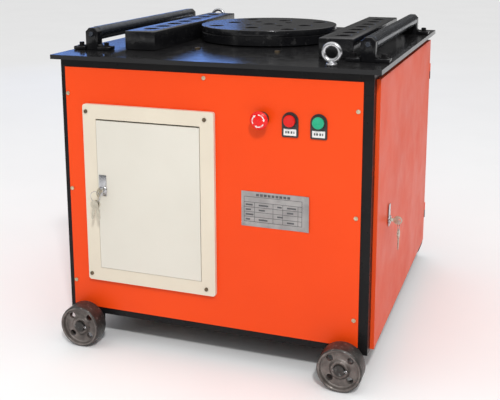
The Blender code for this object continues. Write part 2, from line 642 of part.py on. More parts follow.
def build_box_contents():
    """Mounting plate, two contactors and the control transformer."""
    inset = BOX_REBATE + BOX_WALL + 0.010
    back = BOX_BACK - BOX_WALL - MOUNTING_PLATE_STANDOFF
    plate = box((BOX_X0 + inset, back - SHEET, BOX_Z0 + inset), (BOX_X1 - inset, back, BOX_Z1 - inset))
    feet = [rod(0.004, "Y", back - 0.001, BOX_BACK - BOX_WALL - GAP, (x, 0, z), 8)
            for x in (BOX_X0 + inset + 0.015, BOX_X1 - inset - 0.015)
            for z in (BOX_Z0 + inset + 0.015, BOX_Z1 - inset - 0.015)]
    name_part(join(plate, *feet), "mounting_plate", "bright_zinc")
    front = back - SHEET - GAP
    middle = (BOX_X0 + BOX_X1) / 2
    upper = BOX_Z1 - inset - 0.060
    width, height, depth = CONTACTOR
    for name, x in (("contactor_forward", middle - 0.050), ("contactor_reverse", middle + 0.050)):
        body = box((x - width / 2, front - depth * 0.55, upper - height), (x + width / 2, front, upper))
        nose = box((x - width / 2 + 0.004, front - depth, upper - height + 0.014),
                   (x + width / 2 - 0.004, front - depth * 0.5, upper - 0.014))
        name_part(join(body, nose), name, "black_plastic")
    width, height, depth = TRANSFORMER
    low = BOX_Z0 + inset + 0.060
    core = box((middle - width / 2, front - depth, low), (middle + width / 2, front, low + height))
    coil = box((middle - width / 4, front - depth - 0.008, low - 0.012),
               (middle + width / 4, front - 0.006, low + height + 0.012))
    name_part(join(core, coil), "control_transformer", "grey_paint")


# ---------------------------------------------------------------- buttons

def button_places():
    """X of the emergency stop, the stop button and the start button."""
    return [BUTTON_FIRST_X + i * BUTTON_PITCH for i in range(3)]


def button_body(x, front_radius, front_height):
    """Barrel through the panel with a wide front and a blind hole for the stem."""
    front = PANEL_FRONT - GAP
    bore = STEM_RADIUS + GAP
    depth = front - front_height + BUTTON_TRAVEL + 0.030
    end = PANEL_BACK + BUTTON_BARREL_LENGTH
    profile = [(0, end), (BUTTON_BARREL_RADIUS, end), (BUTTON_BARREL_RADIUS, front),
               (front_radius, front), (front_radius, front - front_height),
               (bore, front - front_height), (bore, depth), (0, depth)]
    return turned(profile, "Y", (x, 0, BUTTON_Z), 16)


def build_emergency_stop():
    x = button_places()[0]
    pivot = (x, PANEL_FRONT, BUTTON_Z)
    name_part(button_body(x, COLLAR_RADIUS, COLLAR_HEIGHT), "estop_body", "black_plastic", smooth=True)
    top = PANEL_FRONT - MUSHROOM_HEIGHT
    under = top + MUSHROOM_THICKNESS
    stem_end = PANEL_FRONT - COLLAR_HEIGHT + 0.024
    crown = [(MUSHROOM_RADIUS * sin(a), top + 0.006 * (1 - cos(a))) for a in
             (radians(30 * i) for i in range(3))]
    profile = [(0, top)] + crown[1:] + [(MUSHROOM_RADIUS, top + 0.006), (MUSHROOM_RADIUS - 0.002, under),
                                        (STEM_RADIUS + 0.004, under), (STEM_RADIUS, under + 0.001),
                                        (STEM_RADIUS, stem_end), (0, stem_end)]
    name_part(turned(profile, "Y", (x, 0, BUTTON_Z), 20), "estop_knob", "red_plastic", pivot, smooth=True)


def build_push_button(x, name, finish):
    """Holder with a legend plate, and the cap that travels in its ring."""
    front = PANEL_FRONT - GAP
    half = HOLDER_WIDTH / 2
    body = button_body(x, HOLDER_RING_RADIUS, HOLDER_RING_HEIGHT)
    round_top = [(z, u) for u, z in arc((x, BUTTON_Z), half, 0, 180, 8)]
    outline = [(BUTTON_Z - HOLDER_DROP, x + half)] + round_top + [(BUTTON_Z - HOLDER_DROP, x - half)]
    plate = prism(outline[::-1], "Y", front - HOLDER_THICKNESS, front)
    hole = rod(BUTTON_BARREL_RADIUS - 0.001, "Y", front - 0.02, front + 0.02, (x, 0, BUTTON_Z), 16)
    body = join(body, cut(plate, hole))
    recess = rod(CAP_RADIUS + GAP, "Y", front - HOLDER_RING_HEIGHT - 0.01, front - 0.002,
                 (x, 0, BUTTON_Z), 16)
    name_part(cut(body, recess), f"{name}_body", "black_plastic")
    face = PANEL_FRONT - CAP_HEIGHT
    rest = front - 0.002 - BUTTON_TRAVEL - GAP
    stem_end = front + 0.018
    profile = [(0, face), (CAP_RADIUS - 0.0012, face), (CAP_RADIUS, face + 0.0012), (CAP_RADIUS, rest),
               (STEM_RADIUS, rest), (STEM_RADIUS, stem_end), (0, stem_end)]
    name_part(turned(profile, "Y", (x, 0, BUTTON_Z), 16), f"{name}_cap", finish,
              (x, PANEL_FRONT, BUTTON_Z), True)


def build_data_plate():
    high = TABLE_BOTTOM - PLATE_DROP
    plate = box((PLATE_LEFT, PANEL_FRONT - GAP - PLATE_THICKNESS, high - PLATE_HEIGHT),
                (PLATE_LEFT + PLATE_WIDTH, PANEL_FRONT - GAP, high))
    name_part(plate, "data_plate", "aluminium")


def build_cable_gland():
    outer = FRAME_Y + GAP + SHEET + GAP
    profile = [(0.007, FRAME_Y - 0.012), (GLAND_RADIUS, FRAME_Y - 0.012), (GLAND_RADIUS, outer),
               (GLAND_RADIUS + 0.005, outer), (GLAND_RADIUS + 0.005, outer + 0.006),
               (GLAND_RADIUS + 0.003, outer + 0.007),
               (GLAND_RADIUS + 0.003, outer + 0.018), (0.010, outer + 0.024), (0.007, outer + 0.024)]
    gland = turned(profile, "Y", (GLAND_X, 0, GLAND_HEIGHT), 12, closed=True)
    name_part(gland, "cable_gland", "black_plastic")


# ---------------------------------------------------------------- disc, bars and rollers

def circle_places(radius, turn, count=4):
    """Points on a circle round the disc's axis."""
    return [(radius * cos(radians(turn + 360 * i / count)),
             DISC_CENTRE_Y + radius * sin(radians(turn + 360 * i / count))) for i in range(count)]


def build_disc():
    top = DISC_BOTTOM + DISC_THICKNESS
    chamfer = 0.0015
    profile = [(0, DISC_BOTTOM), (DISC_RADIUS, DISC_BOTTOM), (DISC_RADIUS, top - chamfer),
               (DISC_RADIUS - chamfer, top), (0, top)]
    disc = turned(profile, "Z", (0, DISC_CENTRE_Y, 0), 48)
    places = (circle_places(INNER_PIN_CIRCLE, INNER_PIN_TURN)
              + circle_places(OUTER_PIN_CIRCLE, OUTER_PIN_TURN))
    holes = [rod(PIN_HOLE_RADIUS, "Z", DISC_BOTTOM - 0.01, top + 0.01, (x, y, 0), 14)
             for x, y in places + [(0, DISC_CENTRE_Y)]]
    sinks = [rod(DISC_BOLT_RADIUS, "Z", top - 0.010, top + 0.01, (x, y, 0), 8)
             for x, y in circle_places(DISC_BOLT_CIRCLE, DISC_BOLT_TURN)]
    name_part(cut(disc, *holes, *sinks), "work_disc", "dark_steel", (0, DISC_CENTRE_Y, 0))


def build_bar(x, name):
    """Thick bar with a row of holes for the stop pins."""
    top = TABLE_TOP + GAP + BAR_HEIGHT
    bar = box((x - BAR_WIDTH / 2, -BAR_LENGTH / 2, TABLE_TOP + GAP),
              (x + BAR_WIDTH / 2, BAR_LENGTH / 2, top))
    first = -BAR_HOLE_PITCH * (BAR_HOLES - 1) / 2
    holes = [rod(PIN_HOLE_RADIUS, "Z", TABLE_TOP - 0.01, top + 0.01, (x, first + i * BAR_HOLE_PITCH, 0), 14)
             for i in range(BAR_HOLES)]
    name_part(cut(bar, *holes), name, "dark_steel")


def build_roller(x, name):
    """Roller with a journal at each end that runs in its brackets."""
    z = TABLE_TOP + ROLLER_HEIGHT
    half = ROLLER_LENGTH / 2
    end = half + GAP + BRACKET_THICKNESS + 0.004
    profile = [(0, -end), (JOURNAL_RADIUS, -end), (JOURNAL_RADIUS, -half), (ROLLER_RADIUS, -half),
               (ROLLER_RADIUS, half), (JOURNAL_RADIUS, half), (JOURNAL_RADIUS, end), (0, end)]
    name_part(turned(profile, "Y", (x, 0, z), 16), name, "dark_steel", (x, 0, z), True)


def build_bracket(x, side, name):
    """Thick upright with cut corners on a flat foot that is wide enough for two bolts."""
    inner = side * (ROLLER_LENGTH / 2 + GAP)
    outer = inner + side * BRACKET_THICKNESS
    base = TABLE_TOP + GAP
    top = TABLE_TOP + BRACKET_TOP
    half = BRACKET_WIDTH / 2
    cut_half = half - BRACKET_CHAMFER
    outline = [(base, x + half), (top - BRACKET_CHAMFER, x + half), (top, x + cut_half), (top, x - cut_half),
               (top - BRACKET_CHAMFER, x - half), (base, x - half)]
    upright = prism(outline[::-1], "Y", *sorted((inner, outer)))
    middle = (inner + outer) / 2
    foot = box((x - BRACKET_FOOT_WIDTH / 2, middle - BRACKET_FOOT_DEPTH / 2, base),
               (x + BRACKET_FOOT_WIDTH / 2, middle + BRACKET_FOOT_DEPTH / 2, base + BRACKET_FOOT_THICKNESS))
    bore = rod(JOURNAL_RADIUS + GAP, "Y", *sorted((inner - side * 0.01, outer + side * 0.01)),
               (x, 0, TABLE_TOP + ROLLER_HEIGHT), 12)
    name_part(cut(join(upright, foot), bore), name, "black_paint")


def build_top():
    build_disc()
    for x, side, out in ((BAR_LEFT_X, "left", -1), (BAR_RIGHT_X, "right", 1)):
        build_bar(x, f"{side}_hole_bar")
        roller_x = out * ROLLER_X
        build_roller(roller_x, f"{side}_roller")
        for way, end in ((-1, "front"), (1, "rear")):
            build_bracket(roller_x, way, f"{side}_bracket_{end}")


def build_eye(x, y, name):
    """Lifting eye: a round ring on a collar."""
    base = TABLE_TOP + GAP
    ring = [(EYE_RING_RADIUS + EYE_BAR_RADIUS * cos(2 * pi * i / 6), EYE_BAR_RADIUS * sin(2 * pi * i / 6))
            for i in range(6)]
    eye = turned(ring, "Y", (x, y, base + EYE_HEIGHT), 16, closed=True)
    collar = [(0, base), (EYE_COLLAR_RADIUS, base), (EYE_COLLAR_RADIUS, base + EYE_COLLAR_HEIGHT),
              (EYE_COLLAR_RADIUS * 0.6, base + EYE_COLLAR_HEIGHT + 0.003),
              (0, base + EYE_COLLAR_HEIGHT + 0.003)]
    name_part(join(eye, turned(collar, "Z", (x, y, 0), 12)), name, "bright_zinc", smooth=True)


# ---------------------------------------------------------------- gearbox

def build_main_shaft():
    flange_top = DISC_BOTTOM - GAP
    flange_bottom = TABLE_BOTTOM + 0.002
    bottom = GEARBOX_BOTTOM + GEARBOX_FLOOR - BEARING_WIDTH + 0.001
    profile = [(0, bottom), (SHAFT_RADIUS, bottom), (SHAFT_RADIUS, flange_bottom),
               (SHAFT_FLANGE_RADIUS, flange_bottom), (SHAFT_FLANGE_RADIUS, flange_top), (0, flange_top)]
    name_part(turned(profile, "Z", (0, DISC_CENTRE_Y, 0), 24), "main_shaft", "machined_steel",
              (0, DISC_CENTRE_Y, 0), True)


def build_worm_wheel():
    """Toothed wheel with a tooth pointing at the worm."""
    root = WHEEL_PITCH_RADIUS - 1.2 * GEAR_MODULE
    tip = WHEEL_PITCH_RADIUS + GEAR_MODULE
    outline = []
    for i in range(WHEEL_TEETH):
        middle = pi / 2 + 2 * pi * i / WHEEL_TEETH
        for radius, half in ((root, -0.80), (tip, -0.34), (tip, 0.34), (root, 0.80)):
            a = middle + half * GEAR_MODULE / radius
            outline.append((radius * cos(a), DISC_CENTRE_Y + radius * sin(a)))
    wheel = prism(outline, "Z", WORM_HEIGHT - WHEEL_WIDTH / 2, WORM_HEIGHT + WHEEL_WIDTH / 2)
    hub = rod(WHEEL_HUB_RADIUS, "Z", WORM_HEIGHT - WHEEL_HUB_LENGTH / 2, WORM_HEIGHT + WHEEL_HUB_LENGTH / 2,
              (0, DISC_CENTRE_Y, 0), 20)
    bore = rod(SHAFT_RADIUS + GAP, "Z", WORM_HEIGHT - 0.1, WORM_HEIGHT + 0.1, (0, DISC_CENTRE_Y, 0), 24)
    name_part(cut(join(wheel, hub), bore), "worm_wheel", "bronze", (0, DISC_CENTRE_Y, 0))


def worm_radius(x, turn):
    """Radius of the right-hand thread at a place along the worm and a turn round it."""
    pitch = pi * GEAR_MODULE
    phase = (x / pitch - turn / (2 * pi)) % 1.0
    distance = min(phase, 1.0 - phase)
    root = WORM_PITCH_RADIUS - 1.25 * GEAR_MODULE
    tip = WORM_PITCH_RADIUS + GEAR_MODULE
    rise = min(1.0, max(0.0, (0.28 - distance) / 0.18))
    return root + (tip - root) * rise


def build_worm_shaft():
    """Worm and its journals as one turned grid whose radius follows the thread."""
    segments = 10
    pitch = pi * GEAR_MODULE
    rows = int(WORM_LENGTH / pitch * 5)
    root = WORM_PITCH_RADIUS - 1.25 * GEAR_MODULE
    left = PULLEY_X - PULLEY_WIDTH / 2 - 0.006
    right = GEARBOX_HALF_WIDTH + 0.004
    stations = [(left, WORM_SHAFT_RADIUS), (-WORM_LENGTH / 2 - 0.012, WORM_SHAFT_RADIUS),
                (-WORM_LENGTH / 2 - 0.012, root), (-WORM_LENGTH / 2 - 0.003, root)]
    stations += [(-WORM_LENGTH / 2 + WORM_LENGTH * i / rows, None) for i in range(rows + 1)]
    stations += [(WORM_LENGTH / 2 + 0.003, root), (WORM_LENGTH / 2 + 0.012, root),
                 (WORM_LENGTH / 2 + 0.012, WORM_SHAFT_RADIUS), (right, WORM_SHAFT_RADIUS)]
    bm = bmesh.new()
    rings = []
    for x, radius in stations:
        ring = []
        for i in range(segments):
            turn = 2 * pi * i / segments
            r = worm_radius(x, turn) if radius is None else radius
            ring.append(bm.verts.new((x, WORM_Y + r * cos(turn), WORM_HEIGHT + r * sin(turn))))
        rings.append(ring)
    for first, second in zip(rings, rings[1:]):
        for i in range(segments):
            j = (i + 1) % segments
            bm.faces.new((first[i], first[j], second[j], second[i]))
    bm.faces.new(rings[0])
    bm.faces.new(rings[-1])
    bmesh.ops.triangulate(bm, faces=[f for f in bm.faces if len(f.verts) == 4])
    shaft = bpy.data.objects.new("shape", finish_mesh(bm, "shape"))
    bpy.context.collection.objects.link(shaft)
    name_part(shaft, "worm_shaft", "machined_steel", (0, WORM_Y, WORM_HEIGHT))


def ring_profile(inner, outer, low, high):
    return [(inner, low), (outer, low), (outer, high), (inner, high)]


def build_bearings():
    """Ball bearings as plain rings in their seats."""
    inner = SHAFT_RADIUS + GAP
    outer = SHAFT_RADIUS + BEARING_WALL
    centre = (0, DISC_CENTRE_Y, 0)
    low = GEARBOX_BOTTOM + GEARBOX_FLOOR - BEARING_WIDTH
    name_part(turned(ring_profile(inner, outer, low, low + BEARING_WIDTH), "Z", centre, 24, True),
              "main_bearing_lower", "machined_steel")
    low = FRAME_TOP - BEARING_WIDTH
    name_part(turned(ring_profile(inner, outer, low, low + BEARING_WIDTH), "Z", centre, 24, True),
              "main_bearing_upper", "machined_steel")
    inner = WORM_SHAFT_RADIUS + GAP
    seat = GEARBOX_HALF_WIDTH - GEARBOX_WALL
    for side, name in ((-1, "worm_bearing_left"), (1, "worm_bearing_right")):
        ends = sorted((side * seat, side * GEARBOX_HALF_WIDTH))
        profile = ring_profile(inner, WORM_BEARING_OUTER, *ends)
        name_part(turned(profile, "X", (0, WORM_Y, WORM_HEIGHT), 20, True), name, "machined_steel")


def build_housing():
    """Open-topped gearbox casting with bearing seats in its floor and sides."""
    front = DISC_CENTRE_Y - GEARBOX_FRONT
    back = WORM_Y + GEARBOX_BEHIND_WORM
    half = GEARBOX_HALF_WIDTH
    body = box((-half, front, GEARBOX_BOTTOM), (half, back, HOUSING_TOP))
    rim = box((-half - GEARBOX_FLANGE, front - GEARBOX_FLANGE, HOUSING_TOP - GEARBOX_WALL),
              (half + GEARBOX_FLANGE, back + GEARBOX_FLANGE, HOUSING_TOP))
    join(body, rim)
    wall = GEARBOX_WALL
    hollow = box((-half + wall, front + wall, GEARBOX_BOTTOM + GEARBOX_FLOOR),
                 (half - wall, back - wall, HOUSING_TOP + 0.01))
    pocket = rod(SHAFT_RADIUS + BEARING_WALL + GAP, "Z", GEARBOX_BOTTOM + GEARBOX_FLOOR - BEARING_WIDTH - GAP,
                 GEARBOX_BOTTOM + GEARBOX_FLOOR + 0.01, (0, DISC_CENTRE_Y, 0), 24)
    tunnel = rod(WORM_BEARING_OUTER + GAP, "X", -half - 0.05, half + 0.05, (0, WORM_Y, WORM_HEIGHT), 20)
    name_part(cut(body, hollow, pocket, tunnel), "gearbox_housing", "grey_paint")


def build_lid():
    front = DISC_CENTRE_Y - GEARBOX_FRONT - LID_MARGIN
    back = WORM_Y + GEARBOX_BEHIND_WORM + LID_MARGIN
    half = GEARBOX_HALF_WIDTH + LID_MARGIN
    lid = box((-half, front, LID_BOTTOM), (half, back, FRAME_TOP))
    seat = rod(SHAFT_RADIUS + BEARING_WALL + GAP, "Z", LID_BOTTOM - 0.01, FRAME_TOP + 0.01,
               (0, DISC_CENTRE_Y, 0), 24)
    name_part(cut(lid, seat), "gearbox_lid", "grey_paint")


# ---------------------------------------------------------------- belt drive and motor

def pulley_profile(pitch_radius, hub_radius, bore, web):
    """Two-groove pulley as a closed profile of (radius, place across its width)."""
    rim = pitch_radius + GROOVE_ABOVE_PITCH
    half = PULLEY_WIDTH / 2
    profile = [(rim, -half)]
    for middle in (-GROOVE_PITCH / 2, GROOVE_PITCH / 2):
        floor = rim - GROOVE_DEPTH
        profile += [(rim, middle - GROOVE_TOP / 2), (floor, middle - GROOVE_BOTTOM / 2),
                    (floor, middle + GROOVE_BOTTOM / 2), (rim, middle + GROOVE_TOP / 2)]
    profile.append((rim, half))
    if web:
        inside = rim - GROOVE_DEPTH - 0.006
        profile += [(inside, half), (inside, web / 2), (hub_radius, web / 2), (hub_radius, half),
                    (bore, half), (bore, -half), (hub_radius, -half), (hub_radius, -web / 2),
                    (inside, -web / 2), (inside, -half)]
    else:
        profile += [(bore, half), (bore, -half)]
    return profile


def build_pulleys():
    profile = pulley_profile(DRIVEN_PULLEY_RADIUS, 0.028, WORM_SHAFT_RADIUS + GAP, 0.010)
    name_part(turned(profile, "X", (PULLEY_X, WORM_Y, WORM_HEIGHT), 24, True), "driven_pulley", "cast_iron",
              (0, WORM_Y, WORM_HEIGHT))
    profile = pulley_profile(MOTOR_PULLEY_RADIUS, 0.028, MOTOR_SHAFT_RADIUS + GAP, 0)
    name_part(turned(profile, "X", (PULLEY_X, MOTOR_Y, MOTOR_Z), 16, True), "motor_pulley", "cast_iron",
              (0, MOTOR_Y, MOTOR_Z))


def belt_path(extra):
    """Closed path round both pulleys at a distance from their pitch circles."""
    dy, dz = WORM_Y - MOTOR_Y, WORM_HEIGHT - MOTOR_Z
    distance = hypot(dy, dz)
    heading = degrees(atan2(dz, dy))
    lean = degrees(atan2(DRIVEN_PULLEY_RADIUS - MOTOR_PULLEY_RADIUS,
                         sqrt(distance ** 2 - (DRIVEN_PULLEY_RADIUS - MOTOR_PULLEY_RADIUS) ** 2)))
    large = DRIVEN_PULLEY_RADIUS + extra
    small = MOTOR_PULLEY_RADIUS + extra
    upper = arc((WORM_Y, WORM_HEIGHT), large, heading - 90 - lean, heading + 90 + lean, 16)
    lower = arc((MOTOR_Y, MOTOR_Z), small, heading + 90 + lean, heading + 270 - lean, 9)
    return upper + lower


def build_belt(x, name):
    outer = belt_path(GROOVE_ABOVE_PITCH)
    inner = belt_path(GROOVE_ABOVE_PITCH - BELT_HEIGHT)
    bm = bmesh.new()
    loops = []
    for path, width in ((outer, BELT_TOP), (inner, BELT_BOTTOM)):
        for side in (-1, 1):
            loops.append([bm.verts.new((x + side * width / 2, y, z)) for y, z in path])
    count = len(outer)
    for first, second in ((0, 1), (1, 3), (3, 2), (2, 0)):
        for i in range(count):
            j = (i + 1) % count
            bm.faces.new((loops[first][i], loops[first][j], loops[second][j], loops[second][i]))
    belt = bpy.data.objects.new("shape", finish_mesh(bm, "shape"))
    bpy.context.collection.objects.link(belt)
    name_part(belt, name, "belt_rubber")


def build_motor():
    """Finned motor body as one shell round the rotor, with its fan cover and feet."""
    half = MOTOR_HALF_LENGTH
    bore = MOTOR_SHAFT_RADIUS + GAP
    wall = 0.012
    cover = half + FAN_COVER_LENGTH
    profile = [(bore, -half), (0.050, -half), (MOTOR_RADIUS, -half + 0.018), (MOTOR_RADIUS, cover - 0.006),
               (MOTOR_RADIUS - 0.006, cover), (0.030, cover), (0.030, cover - 0.002),
               (MOTOR_RADIUS - 0.004, cover - 0.002),
               (MOTOR_RADIUS - 0.004, half), (bore, half), (bore, half - wall), (MOTOR_BORE, half - wall),
               (MOTOR_BORE, -half + wall + 0.010), (bore, -half + wall)]
    motor = turned(profile, "X", (0, MOTOR_Y, MOTOR_Z), 20, True)
    foot = MOTOR_FOOT_WIDTH / 2
    low = MOTOR_FLOOR
    pads = [box((x0, MOTOR_Y + y0, low), (x1, MOTOR_Y + y1, MOTOR_Z - 0.045))
            for x0, x1 in ((-MOTOR_FOOT_LENGTH / 2, -0.040), (0.040, MOTOR_FOOT_LENGTH / 2))
            for y0, y1 in ((-foot, -foot + 0.030), (foot - 0.030, foot))]
    terminal = box((-0.050, MOTOR_Y - 0.045, MOTOR_Z + 0.080), (0.050, MOTOR_Y + 0.045, MOTOR_Z + 0.130))
    name_part(join(motor, *pads, terminal), "motor_body", "motor_paint")


def build_rotor():
    """Shaft, rotor core and fan."""
    half = MOTOR_HALF_LENGTH
    left = PULLEY_X - PULLEY_WIDTH / 2 - 0.004
    fan = half + 0.012
    profile = [(0, left), (MOTOR_SHAFT_RADIUS, left), (MOTOR_SHAFT_RADIUS, -ROTOR_HALF_LENGTH),
               (ROTOR_RADIUS, -ROTOR_HALF_LENGTH), (ROTOR_RADIUS, ROTOR_HALF_LENGTH),
               (MOTOR_SHAFT_RADIUS, ROTOR_HALF_LENGTH), (MOTOR_SHAFT_RADIUS, fan),
               (0.078, fan), (0.078, fan + 0.004),
               (0.020, fan + 0.008), (0.020, fan + 0.030), (0, fan + 0.030)]
    rotor = turned(profile, "X", (0, MOTOR_Y, MOTOR_Z), 16)
    blades = []
    for i in range(6):
        blade = box((fan + 0.002, -0.0015, 0.015), (fan + 0.030, 0.0015, 0.075))
        blade.data.transform(Matrix.Translation((0, MOTOR_Y, MOTOR_Z)) @ Matrix.Rotation(pi * i / 3, 4, "X"))
        blades.append(blade)
    name_part(join(rotor, *blades), "motor_rotor", "machined_steel", (0, MOTOR_Y, MOTOR_Z))


# ---------------------------------------------------------------- running gear

def build_axle(x, name):
    """Round bar under the frame, with a collar inside each wheel."""
    end = WHEEL_OUTER_Y - AXLE_END
    collar_in, collar_out = FRAME_Y + GAP, WHEEL_INNER_Y - AXLE_CLEARANCE
    half = [(AXLE_RADIUS, collar_in), (AXLE_COLLAR, collar_in), (AXLE_COLLAR, collar_out),
            (AXLE_RADIUS, collar_out),
            (AXLE_RADIUS, end)]
    profile = [(0, -end)] + [(r, -y) for r, y in reversed(half)] + half + [(0, end)]
    name_part(turned(profile, "Y", (x, 0, AXLE_Z), 12), name, "machined_steel")


def build_wheel(x, side, name):
    """Cast wheel: rim, recessed web with four round windows, and hub."""
    inner, outer = WHEEL_INNER_Y, WHEEL_OUTER_Y
    bore = AXLE_RADIUS + AXLE_CLEARANCE
    rim = WHEEL_RADIUS - WHEEL_RIM
    web_out = outer - WHEEL_WEB_RECESS
    web_in = web_out - WHEEL_WEB
    profile = [(bore, outer), (WHEEL_HUB, outer), (WHEEL_HUB, web_out), (rim, web_out), (rim, outer),
               (WHEEL_RADIUS - 0.002, outer), (WHEEL_RADIUS, outer - 0.002), (WHEEL_RADIUS, inner + 0.002),
               (WHEEL_RADIUS - 0.002, inner), (rim, inner), (rim, web_in), (WHEEL_HUB, web_in),
               (WHEEL_HUB, inner),
               (bore, inner)]
    wheel = turned([(r, side * y) for r, y in profile], "Y", (x, 0, AXLE_Z), WHEEL_FACETS, True, True)
    windows = []
    for i in range(4):
        a = radians(45 + 90 * i)
        centre = (x + WHEEL_WINDOW_CIRCLE * cos(a), 0, AXLE_Z + WHEEL_WINDOW_CIRCLE * sin(a))
        windows.append(rod(WHEEL_WINDOW_RADIUS, "Y", *sorted((side * (inner - 0.01), side * (outer + 0.01))),
                           centre, 8))
    name_part(cut(wheel, *windows), name, "cast_iron", (x, 0, AXLE_Z))


def build_running_gear():
    for side_x, side in ((-1, "left"), (1, "right")):
        x = side_x * WHEEL_TRACK / 2
        build_axle(x, f"axle_{side}")
        for side_y, end in ((-1, "front"), (1, "rear")):
            build_wheel(x, side_y, f"wheel_{end}_{side}")


# ---------------------------------------------------------------- whole machine

def clear_scene():
    for old in list(bpy.data.objects):
        bpy.data.objects.remove(old)


def build_machine():
    build_table()
    build_top_frame()
    build_bottom_frame()
    build_posts()
    build_front_panel()
    build_rear_panel()
    for side, word in ((-1, "left"), (1, "right")):
        build_side_door(side, f"side_door_{word}")
        build_side_lock(side, f"door_lock_{word}")
    build_control_box()
    build_box_door()
    build_box_lock()
    build_box_contents()
    build_emergency_stop()
    _, stop_x, start_x = button_places()
    build_push_button(stop_x, "stop_button", "red_plastic")
    build_push_button(start_x, "start_button", "green_plastic")
    build_data_plate()
    build_cable_gland()
    build_top()
    build_eye(EYE_X, -EYE_Y, "lifting_eye_front")
    build_eye(-EYE_X, EYE_Y, "lifting_eye_rear")
    build_main_shaft()
    build_worm_wheel()
    build_worm_shaft()
    build_bearings()
    build_housing()
    build_lid()
    build_pulleys()
    build_belt(PULLEY_X - GROOVE_PITCH / 2, "drive_belt_outer")
    build_belt(PULLEY_X + GROOVE_PITCH / 2, "drive_belt_inner")
    build_motor()
    build_rotor()
    build_running_gear()


clear_scene()
build_machine()
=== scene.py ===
"""Looks of the rebar bender: finishes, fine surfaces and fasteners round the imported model.

Metres, +Z up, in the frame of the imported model: the control panel faces -Y and the
machine's right-hand side is +X.
"""
import json
import logging
from dataclasses import dataclass
from enum import Enum
from math import cos, pi, radians, sin

import bmesh
import bpy
from mathutils import Matrix, Vector


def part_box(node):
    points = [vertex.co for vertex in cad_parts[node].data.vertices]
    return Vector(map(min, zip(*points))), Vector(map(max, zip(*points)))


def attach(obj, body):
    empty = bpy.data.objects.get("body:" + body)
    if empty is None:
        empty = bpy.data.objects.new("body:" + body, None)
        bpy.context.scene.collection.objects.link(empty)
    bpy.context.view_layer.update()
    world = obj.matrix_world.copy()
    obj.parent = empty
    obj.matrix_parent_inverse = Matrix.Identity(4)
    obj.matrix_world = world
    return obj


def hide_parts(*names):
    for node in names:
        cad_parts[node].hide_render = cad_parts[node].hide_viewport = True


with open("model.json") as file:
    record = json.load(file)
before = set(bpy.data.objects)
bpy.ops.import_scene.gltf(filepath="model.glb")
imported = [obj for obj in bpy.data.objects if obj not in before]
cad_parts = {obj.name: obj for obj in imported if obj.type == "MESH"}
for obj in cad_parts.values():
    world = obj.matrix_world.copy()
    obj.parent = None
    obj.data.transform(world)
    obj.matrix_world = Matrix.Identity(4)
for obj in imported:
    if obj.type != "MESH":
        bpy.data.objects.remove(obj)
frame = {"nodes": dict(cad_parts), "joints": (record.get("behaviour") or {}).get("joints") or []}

LOG = logging.getLogger("rebar_bender")
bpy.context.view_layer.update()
Point = tuple[float, float, float]
Colour = tuple[float, float, float]
Profile = list[tuple[float, float]]
Mesh = bmesh.types.BMesh
Piece = bpy.types.Object
Tree = bpy.types.NodeTree
Node = bpy.types.Node
Socket = bpy.types.NodeSocket

UP = Vector((0, 0, 1))
FORWARD = Vector((0, -1, 0))
BACKWARD = Vector((0, 1, 0))
THROUGH = 0.05                   # how far a cutter reaches past what it goes through
PIN_RADIUS = 0.0180              # pin holes of the disc and the bars
PIN_LIP = 0.0012                 # chamfer round their tops
WELD: Profile = [(-0.0005, -0.0005), (0.0050, -0.0005), (0.0032, 0.0028), (-0.0005, 0.0055)]
EYE_COLLAR: Profile = [(0, 0), (0.0110, 0), (0.0120, 0.0012), (0.0120, 0.0048), (0.0108, 0.0060),
                       (0.0072, 0.0066), (0.0056, 0.0084), (0.0050, 0.0105), (0, 0.0110)]
SPLIT_PIN: Profile = [(0, -0.0135), (0.0013, -0.0130), (0.0013, 0.0130), (0, 0.0135)]
KEY_BLADE: Profile = [(-0.0030, -0.0195), (-0.0030, -0.0440), (0.0005, -0.0462), (0.0030, -0.0430),
                      (0.0030, -0.0378), (0.0044, -0.0360), (0.0030, -0.0345), (0.0030, -0.0325),
                      (0.0042, -0.0312), (0.0030, -0.0300), (0.0030, -0.0195)]
DUST_COLOUR = (0.32, 0.30, 0.27)
SCRATCH_COLOUR = (0.42, 0.41, 0.40)


class Grain(Enum):
    """How the fine surface of a finish is stretched along X, Y and Z."""

    EVEN = (1.0, 1.0, 1.0)
    ALONG_X = (0.04, 1.0, 1.0)
    ALONG_Y = (1.0, 0.04, 1.0)


class Along(Enum):
    """Axis that a turned or extruded shape lies along."""

    X = "X"
    Y = "Y"
    Z = "Z"


# ---------------------------------------------------------------- nodes

def wired(tree: Tree, kind: str, inputs: dict[str | int, object],
          **settings: str) -> Node:
    """Adds a node with its inputs set or linked.

    Args:
        tree: the nodes it joins.
        kind: its type.
        inputs: values, or sockets to link, by the input's name or number.
        settings: its own properties.

    Returns:
        The node.
    """
    node = tree.nodes.new(kind)
    for key, value in settings.items():
        setattr(node, key, value)
    for key, value in inputs.items():
        if isinstance(value, Socket):
            tree.links.new(value, node.inputs[key])
        else:
            node.inputs[key].default_value = value
    return node


def ranged(tree: Tree, value: Socket, source: tuple[float, float],
           target: tuple[float, float]) -> Socket:
    """Value moved from one range to another and clamped.

    Args:
        tree: the nodes it joins.
        value: the value.
        source: the range it comes in.
        target: the range it leaves in.

    Returns:
        The moved value.
    """
    ends = dict(zip(("From Min", "From Max", "To Min", "To Max"), source + target))
    return wired(tree, "ShaderNodeMapRange", {"Value": value, **ends}).outputs["Result"]


def times(tree: Tree, first: Socket,
          second: Socket | float) -> Socket:
    """Product of two values."""
    return wired(tree, "ShaderNodeMath", {0: first, 1: second}, operation="MULTIPLY").outputs[0]


